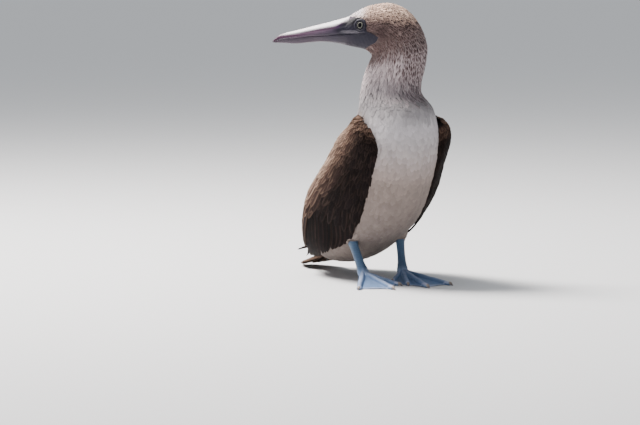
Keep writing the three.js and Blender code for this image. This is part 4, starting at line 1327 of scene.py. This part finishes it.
# The legs and feet. Each toe's turn in degrees, its length with the claw, its claw and its thickness,
# for the hind, inner, middle and outer toe.
TOES = {
    "right": [(-60, 30, 6, 7), (-30, 66, 8, 7.5), (-1, 98, 10, 8), (30, 91, 8, 7.5)],
    "left": [(-60, 30, 6, 7), (-19, 66, 8, 7.5), (-4, 98, 10, 8), (24, 91, 8, 7.5)],
}
TOE_END_HEIGHT = 2.3
WEB_THICKNESS = 1.3
LEG_AXIS = unit(HEEL - FOOT_JOINT)
LEG_TOP = HEEL - LEG_AXIS * 5
FOOT_FLOOR = 0.25
FOOT_VOXEL = 0.62
FOOT_SMOOTHING = 3
SCALE_DEPTH = 0.16
CREASE_DEPTH = 0.1
WEB_HOLLOW = 0.14  # how much shorter the web is halfway between two toes


def toe_direction(turn):
    turn = np.radians(turn)
    return np.stack([-np.sin(turn), -np.cos(turn), 0 * turn], -1)


def toe_point(toe, k):
    """A point along a toe's bone, k = 0 at the joint and 1 at the claw."""
    turn, length, claw, _ = toe
    k = np.asarray(k, float)
    drop = (FOOT_JOINT[2] - TOE_END_HEIGHT) * np.clip(k, 0, 1) ** 0.85
    away = ((length - claw) * k)[..., None] * toe_direction(np.float64(turn))
    return FOOT_JOINT + away - drop[..., None] * UP


def tube(centres, wides, deeps, count=20):
    """A closed tube along a path: wides are level and across it, deeps upright. Points and faces."""
    run = unit(np.gradient(centres, axis=0))
    level = unit(np.cross(UP, run))
    over = np.cross(run, level)
    turn = full_circle(count)
    ring = (
        centres[:, None]
        + level[:, None] * (wides[:, None] / 2 * np.cos(turn))[..., None]
        + over[:, None] * (deeps[:, None] / 2 * np.sin(turn))[..., None]
    )
    return ring, closed_faces(len(centres), count)


def web_reach(first, last, f, k=1):
    """How far a web reaches between two toes, f of the way from the first to the last."""
    return lerp(first, last, smoothstep(f, 0, 1)) * 0.985 * (1 - WEB_HOLLOW * 4 * f * (1 - f) * k)


def web_sheet(a, b):
    """The skin between two toes, as a closed plate."""
    f, k = np.meshgrid(np.linspace(0, 1, 24), np.linspace(0.05, 1, 40), indexing="ij")
    span = 4 * f * (1 - f)
    reach = web_reach(a[1] - a[2], b[1] - b[2], f, k)
    direction = toe_direction(lerp(a[0], b[0], f))
    sag = 2.2 * span * k * (1 - 0.8 * k)
    height = FOOT_JOINT[2] - (FOOT_JOINT[2] - TOE_END_HEIGHT + 0.6) * k**0.85 - sag
    height = np.maximum(height, 0.4 + WEB_THICKNESS)
    top = FOOT_JOINT * [1, 1, 0] + direction * (reach * k)[..., None]
    top[..., 2] = height
    under = top - [0, 0, WEB_THICKNESS]
    ring = np.concatenate([top, under[::-1]], 0).transpose(1, 0, 2)
    return ring, closed_faces(ring.shape[0], ring.shape[1])


def toe_tube(toe):
    k = np.linspace(-0.04, 1.03, 44)
    stations = [-0.04, 0.2, 0.35, 0.6, 0.66, 0.85, 1.03]
    size = toe[3] * np.interp(k, stations, [1.15, 1.0, 1.1, 0.9, 1.06, 0.92, 0.84])
    return tube(toe_point(toe, k), size * 0.96, size * 0.92)


def leg_tube():
    k = np.linspace(-0.1, 1.12, 60)
    stations = [-0.1, 0, 0.1, 0.22, 0.45, 0.7, 0.9, 1.12]
    wides = [13, 17, 14.5, 12, 11, 11.5, 14, 13]
    deeps = [15, 17, 15.5, 13.5, 13, 13.5, 16, 15]
    centres = FOOT_JOINT + (HEEL - FOOT_JOINT) * k[:, None]
    centres[0, 2] = 9
    reach = 3
    kernel = np.ones(2 * reach + 1) / (2 * reach + 1)
    sizes = (np.pad(np.interp(k, stations, values), reach, "edge") for values in (wides, deeps))
    return tube(centres, *(np.convolve(size, kernel, "valid") for size in sizes))


def wave_noise(p, scale, seed=0):
    """Smooth uneven waves from about -1 to 1 over points."""
    local = np.random.default_rng(seed)
    total = np.zeros(len(p))
    for _ in range(6):
        way = unit(local.normal(size=3)) * local.uniform(0.7, 1.9) / scale
        total += np.sin(p @ way * 2 * math.pi + local.uniform(0, 6.3))
    return total / 3


def segment_distance(p, a, b):
    """Distance to a line from a to b and how far along it."""
    d = b - a
    k = np.clip(((p - a) @ d) / (d @ d), 0, 1)
    return np.linalg.norm(p - a - k[:, None] * d, axis=1), k


def foot_tint(p, normal, toes):
    """Blue skin: deeper on the webs, paler along the toes, the webs' edges and the scales, and darker
    underneath as painted shade.
    """
    flat, joint = p * [1, 1, 0], FOOT_JOINT * [1, 1, 0]
    on_toe, ripple = np.zeros(len(p)), np.zeros(len(p))
    for toe in toes:
        distance, k = segment_distance(flat, joint, toe_point(toe, 1.0) * [1, 1, 0])
        near = fall(distance, 0.9, 3.2)
        on_toe = np.maximum(on_toe, near)
        along_toe = k * (toe[1] - toe[2])
        ripple = np.maximum(ripple, near * (0.5 + 0.5 * np.cos(along_toe * 2 * math.pi / 2.6)))
    away = flat - joint
    reach = np.linalg.norm(away, axis=1)
    turn = np.degrees(np.arctan2(-away[:, 0], -away[:, 1]))
    turns = np.array([t[0] for t in toes], float)
    fine = np.linspace(turns[0], turns[-1], 200)
    i = np.clip(np.searchsorted(turns, fine, side="right") - 1, 0, len(turns) - 2)
    f = (fine - turns[i]) / (turns[i + 1] - turns[i])
    lengths = np.array([t[1] - t[2] for t in toes])
    edge = web_reach(lengths[i], lengths[i + 1], f)
    rim = smoothstep(reach / np.interp(turn, fine, edge), 0.955, 0.995) * (p[:, 2] < 9)
    on_leg = smoothstep(p[:, 2], 13, 24)
    creases = wave_noise(np.stack([turn * 0.9, reach * 0.25, 0 * reach], 1), 9.0, 3)
    base = blend(FOOT_WEB, FOOT_LEG, on_leg)
    base = base * (1 + 0.07 * creases)[:, None]
    pale = np.clip(0.45 * on_toe * (1 - on_leg) + 0.7 * rim, 0, 1) * smoothstep(normal[:, 2], -0.2, 0.4)
    tint = blend(base, FOOT_PALE, 0.75 * pale)
    scales = 0.5 + 0.5 * np.sin(p[:, 2] * 2 * math.pi / 3.2 + 1.5 * np.sin(p[:, 0] * 0.9))
    tint = tint * (1 - 0.1 * scales * on_leg)[:, None]
    # Painted shade: the undersides near the floor darker.
    under = smoothstep(-normal[:, 2], 0.3, 0.8) * (p[:, 2] < 6)
    return blend(tint, FOOT_WEB * 0.5, 0.7 * under), ripple * (1 - on_leg), scales * on_leg, creases


def fused(name, parts, voxel, passes):
    """One skin round several closed parts, as points, normals and faces in the working axes."""
    points, faces = joined([(ring.reshape(-1, 3), groups) for ring, groups in parts])
    rough = make_object(name, points, faces, FOOT)
    fix_facing(rough)
    remesh = rough.modifiers.new("remesh", "REMESH")
    remesh.mode = "VOXEL"
    remesh.voxel_size = voxel / 1000
    smooth = rough.modifiers.new("smooth", "SMOOTH")
    smooth.factor = 0.5
    smooth.iterations = passes
    whole = rough.evaluated_get(bpy.context.evaluated_depsgraph_get()).to_mesh()
    co, normal = (np.empty(len(whole.vertices) * 3, np.float32) for _ in range(2))
    whole.vertices.foreach_get("co", co)
    whole.vertices.foreach_get("normal", normal)
    quads = np.empty(len(whole.loops), np.int32)
    whole.loops.foreach_get("vertex_index", quads)
    mesh = rough.data
    bpy.data.objects.remove(rough)
    bpy.data.meshes.remove(mesh)
    return co.reshape(-1, 3).astype(float) * 1000 - SHIFT, normal.reshape(-1, 3), quads.reshape(-1, 4)


THIGH_RINGS = [
    ([-31, 10, 104], 32, 50),
    ([-32, 12, 96], 30, 46),
    ([-34, 17, 80], 29, 40),
    ([-36.5, 21, 69], 25, 31),
    (LEG_TOP - LEG_AXIS * 1, 17, 20),
    (LEG_TOP - LEG_AXIS * 4, 13.5, 15.5),
]


def thigh_patch():
    """The feathered thigh's skin, from inside the belly down to the leg."""
    centres = np.array([np.asarray(ring[0], float) for ring in THIGH_RINGS])
    sizes = np.array([ring[1:] for ring in THIGH_RINGS], float)
    k = np.linspace(0, len(THIGH_RINGS) - 1, 60)
    size = along(sizes, k)
    ring, _ = tube(along(centres, k), size[:, 0], size[:, 1], 48)
    return Patch(ring, (0, len(THIGH_RINGS) - 1), (0, 2 * math.pi), None, wrap=True)


def mirror(points, left):
    return points * [-1, 1, 1] if left else points


def build_claw(name, toe, side):
    turn, _, claw, thick = toe
    k = np.linspace(-0.35, 1, 30)
    out = np.clip(k, 0, 1)
    lift = 1.3 * np.sin(math.pi * np.clip(1.25 * k, 0, 1)) - 2.2 * out**2
    ahead = toe_direction(np.float64(turn)) * (claw * k)[:, None]
    centres = toe_point(toe, 1.0) + ahead + lift[:, None] * UP
    size = thick * 0.5 * (1 - out**1.6) + 0.8
    ring, faces = tube(centres, size, size * 1.15, 24)
    ring[..., 2] = np.maximum(ring[..., 2], FOOT_FLOOR)
    tone = np.repeat(blend(CLAW_BASE, CLAW_TIP, smoothstep(k, 0, 1)), ring.shape[1], 0)
    points = mirror(ring.reshape(-1, 3), side == "left")
    obj = make_object("nail_" + name + "_" + side, points, faces, CLAW, tone)
    fix_facing(obj)
    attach(obj, "root")
    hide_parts("claw_" + name + "_" + side)


def thigh_colours(p, q, turn):
    """The colours of the thighs' feathers: edge, dark middle, and how strong that is; their white is
    darkened to a third as painted shade.
    """
    edge = np.tile(WARM_WHITE * 0.34, (len(p), 1))
    return edge, edge * 0.8, np.full(len(p), 0.3)


def build_leg(left):
    side = "left" if left else "right"
    toes = TOES[side]
    parts = [toe_tube(toe) for toe in toes] + [web_sheet(a, b) for a, b in zip(toes, toes[1:])]
    p, normal, quads = fused("foot_" + side, parts + [leg_tube()], FOOT_VOXEL, FOOT_SMOOTHING)
    tint, ripple, scales, creases = foot_tint(p, normal, toes)
    top = smoothstep(normal[:, 2], 0.0, 0.5)
    relief = SCALE_DEPTH * ripple * top + CREASE_DEPTH * scales
    relief = relief + CREASE_DEPTH * creases * top * (p[:, 2] < 12)
    p = p + normal * relief[:, None]
    p[:, 2] = np.maximum(p[:, 2], FOOT_FLOOR)
    quads = quads[:, ::-1] if left else quads
    foot = make_object("foot_and_leg_" + side, mirror(p, left), [quads], FOOT, tint)
    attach(foot, "root")
    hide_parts("foot_" + side, "leg_" + side)
    for name, toe in zip(("hind", "inner", "middle", "outer"), toes):
        build_claw(name, toe, side)
    patch = thigh_patch()
    if left:
        patch = Patch(mirror(patch.points[:, ::-1], True), patch.a_range, patch.b_range, None, wrap=True)
    build_coat(
        "coat_thigh_" + side, patch, (1.2, 4.6), flat_value(3.6), 1.2, flat_value(11), flat_value(5.5),
        (-0.8, 0.4), thigh_colours, COAT_OUTLINE, 0.7,
    )


build_skin()
build_eyes()
build_bill()
build_leg(False)
build_leg(True)
body_coat()
wing_feathers(False)
wing_feathers(True)
build_tail()


# Camera and light.
PHOTO_WIDTH = 640
PHOTO_HEIGHT = 425
PIXEL = 1.4  # millimetres at the bird
ANKLES_AT = (383, 270)  # pixels
VIEW_AZIMUTH = -25
VIEW_ELEVATION = 5.2
CAMERA_RANGE = 4200
SENSOR_WIDTH = 36
FLOOR_REACH = 30.0  # metres


def direction(azimuth, elevation):
    """Outwards from the bird, in degrees round it from its front and up."""
    a, e = math.radians(azimuth), math.radians(elevation)
    return np.array([math.sin(a) * math.cos(e), -math.cos(a) * math.cos(e), math.sin(e)])


def aim(obj, place, outward):
    """Puts a camera or lamp at a place, looking back along outward."""
    obj.location = Vector(place)
    obj.rotation_mode = "QUATERNION"
    obj.rotation_quaternion = Vector(-outward).to_track_quat("-Z", "Y")


def add_camera():
    """The photo's view: the ankles lie where the photo has them, and a pixel is PIXEL wide there."""
    right = direction(VIEW_AZIMUTH + 90, 0) * (PHOTO_WIDTH / 2 - ANKLES_AT[0]) * PIXEL
    up = (ANKLES_AT[1] - PHOTO_HEIGHT / 2) * PIXEL + ANKLE_HEIGHT
    target = right + UP * up / math.cos(math.radians(VIEW_ELEVATION))
    data = bpy.data.cameras.new("camera")
    data.sensor_width = SENSOR_WIDTH
    data.lens = SENSOR_WIDTH * CAMERA_RANGE / PIXEL / PHOTO_WIDTH
    data.clip_end = 100
    camera = add_object("camera", data)
    outward = direction(VIEW_AZIMUTH, VIEW_ELEVATION)
    aim(camera, (target + outward * CAMERA_RANGE + SHIFT) / 1000, outward)
    bpy.context.scene.camera = camera


def add_light(name, kind, azimuth, elevation, distance, size, power, colour=(1, 1, 1)):
    data = bpy.data.lights.new(name, kind)
    setattr(data, "angle" if kind == "SUN" else "size", size)
    data.energy = power
    data.color = colour
    outward = direction(azimuth, elevation)
    aim(add_object(name, data), np.array([0, 0, 0.2]) + outward * distance, outward)


def add_stage():
    corners = [(x * FLOOR_REACH, y * FLOOR_REACH, 0) for x, y in ((-1, -1), (1, -1), (1, 1), (-1, 1))]
    floor_colour = (*srgb(218, 220, 223), 1)
    material, _, _ = new_material("floor", {"Roughness": 0.9, "Base Color": floor_colour})
    mesh = bpy.data.meshes.new("floor")
    mesh.from_pydata(corners, [], [(0, 1, 2, 3)])
    mesh.materials.append(material)
    floor = add_object("floor", mesh)
    world = bpy.data.worlds.new("world")
    bpy.context.scene.world = world
    world.use_nodes = True
    sky = {"Color": (0.86, 0.9, 0.95, 1), "Strength": 0.33}
    set_inputs(world.node_tree, world.node_tree.nodes["Background"], sky)
    add_light("key", "AREA", -130, 60, 2.4, 0.9, 240, (1, 0.94, 0.89))
    add_light("fill", "AREA", 10, 30, 2.8, 2.0, 4)
    add_light("above", "SUN", -130, 78, 3, 1.0, 1.3)


add_camera()
add_stage()
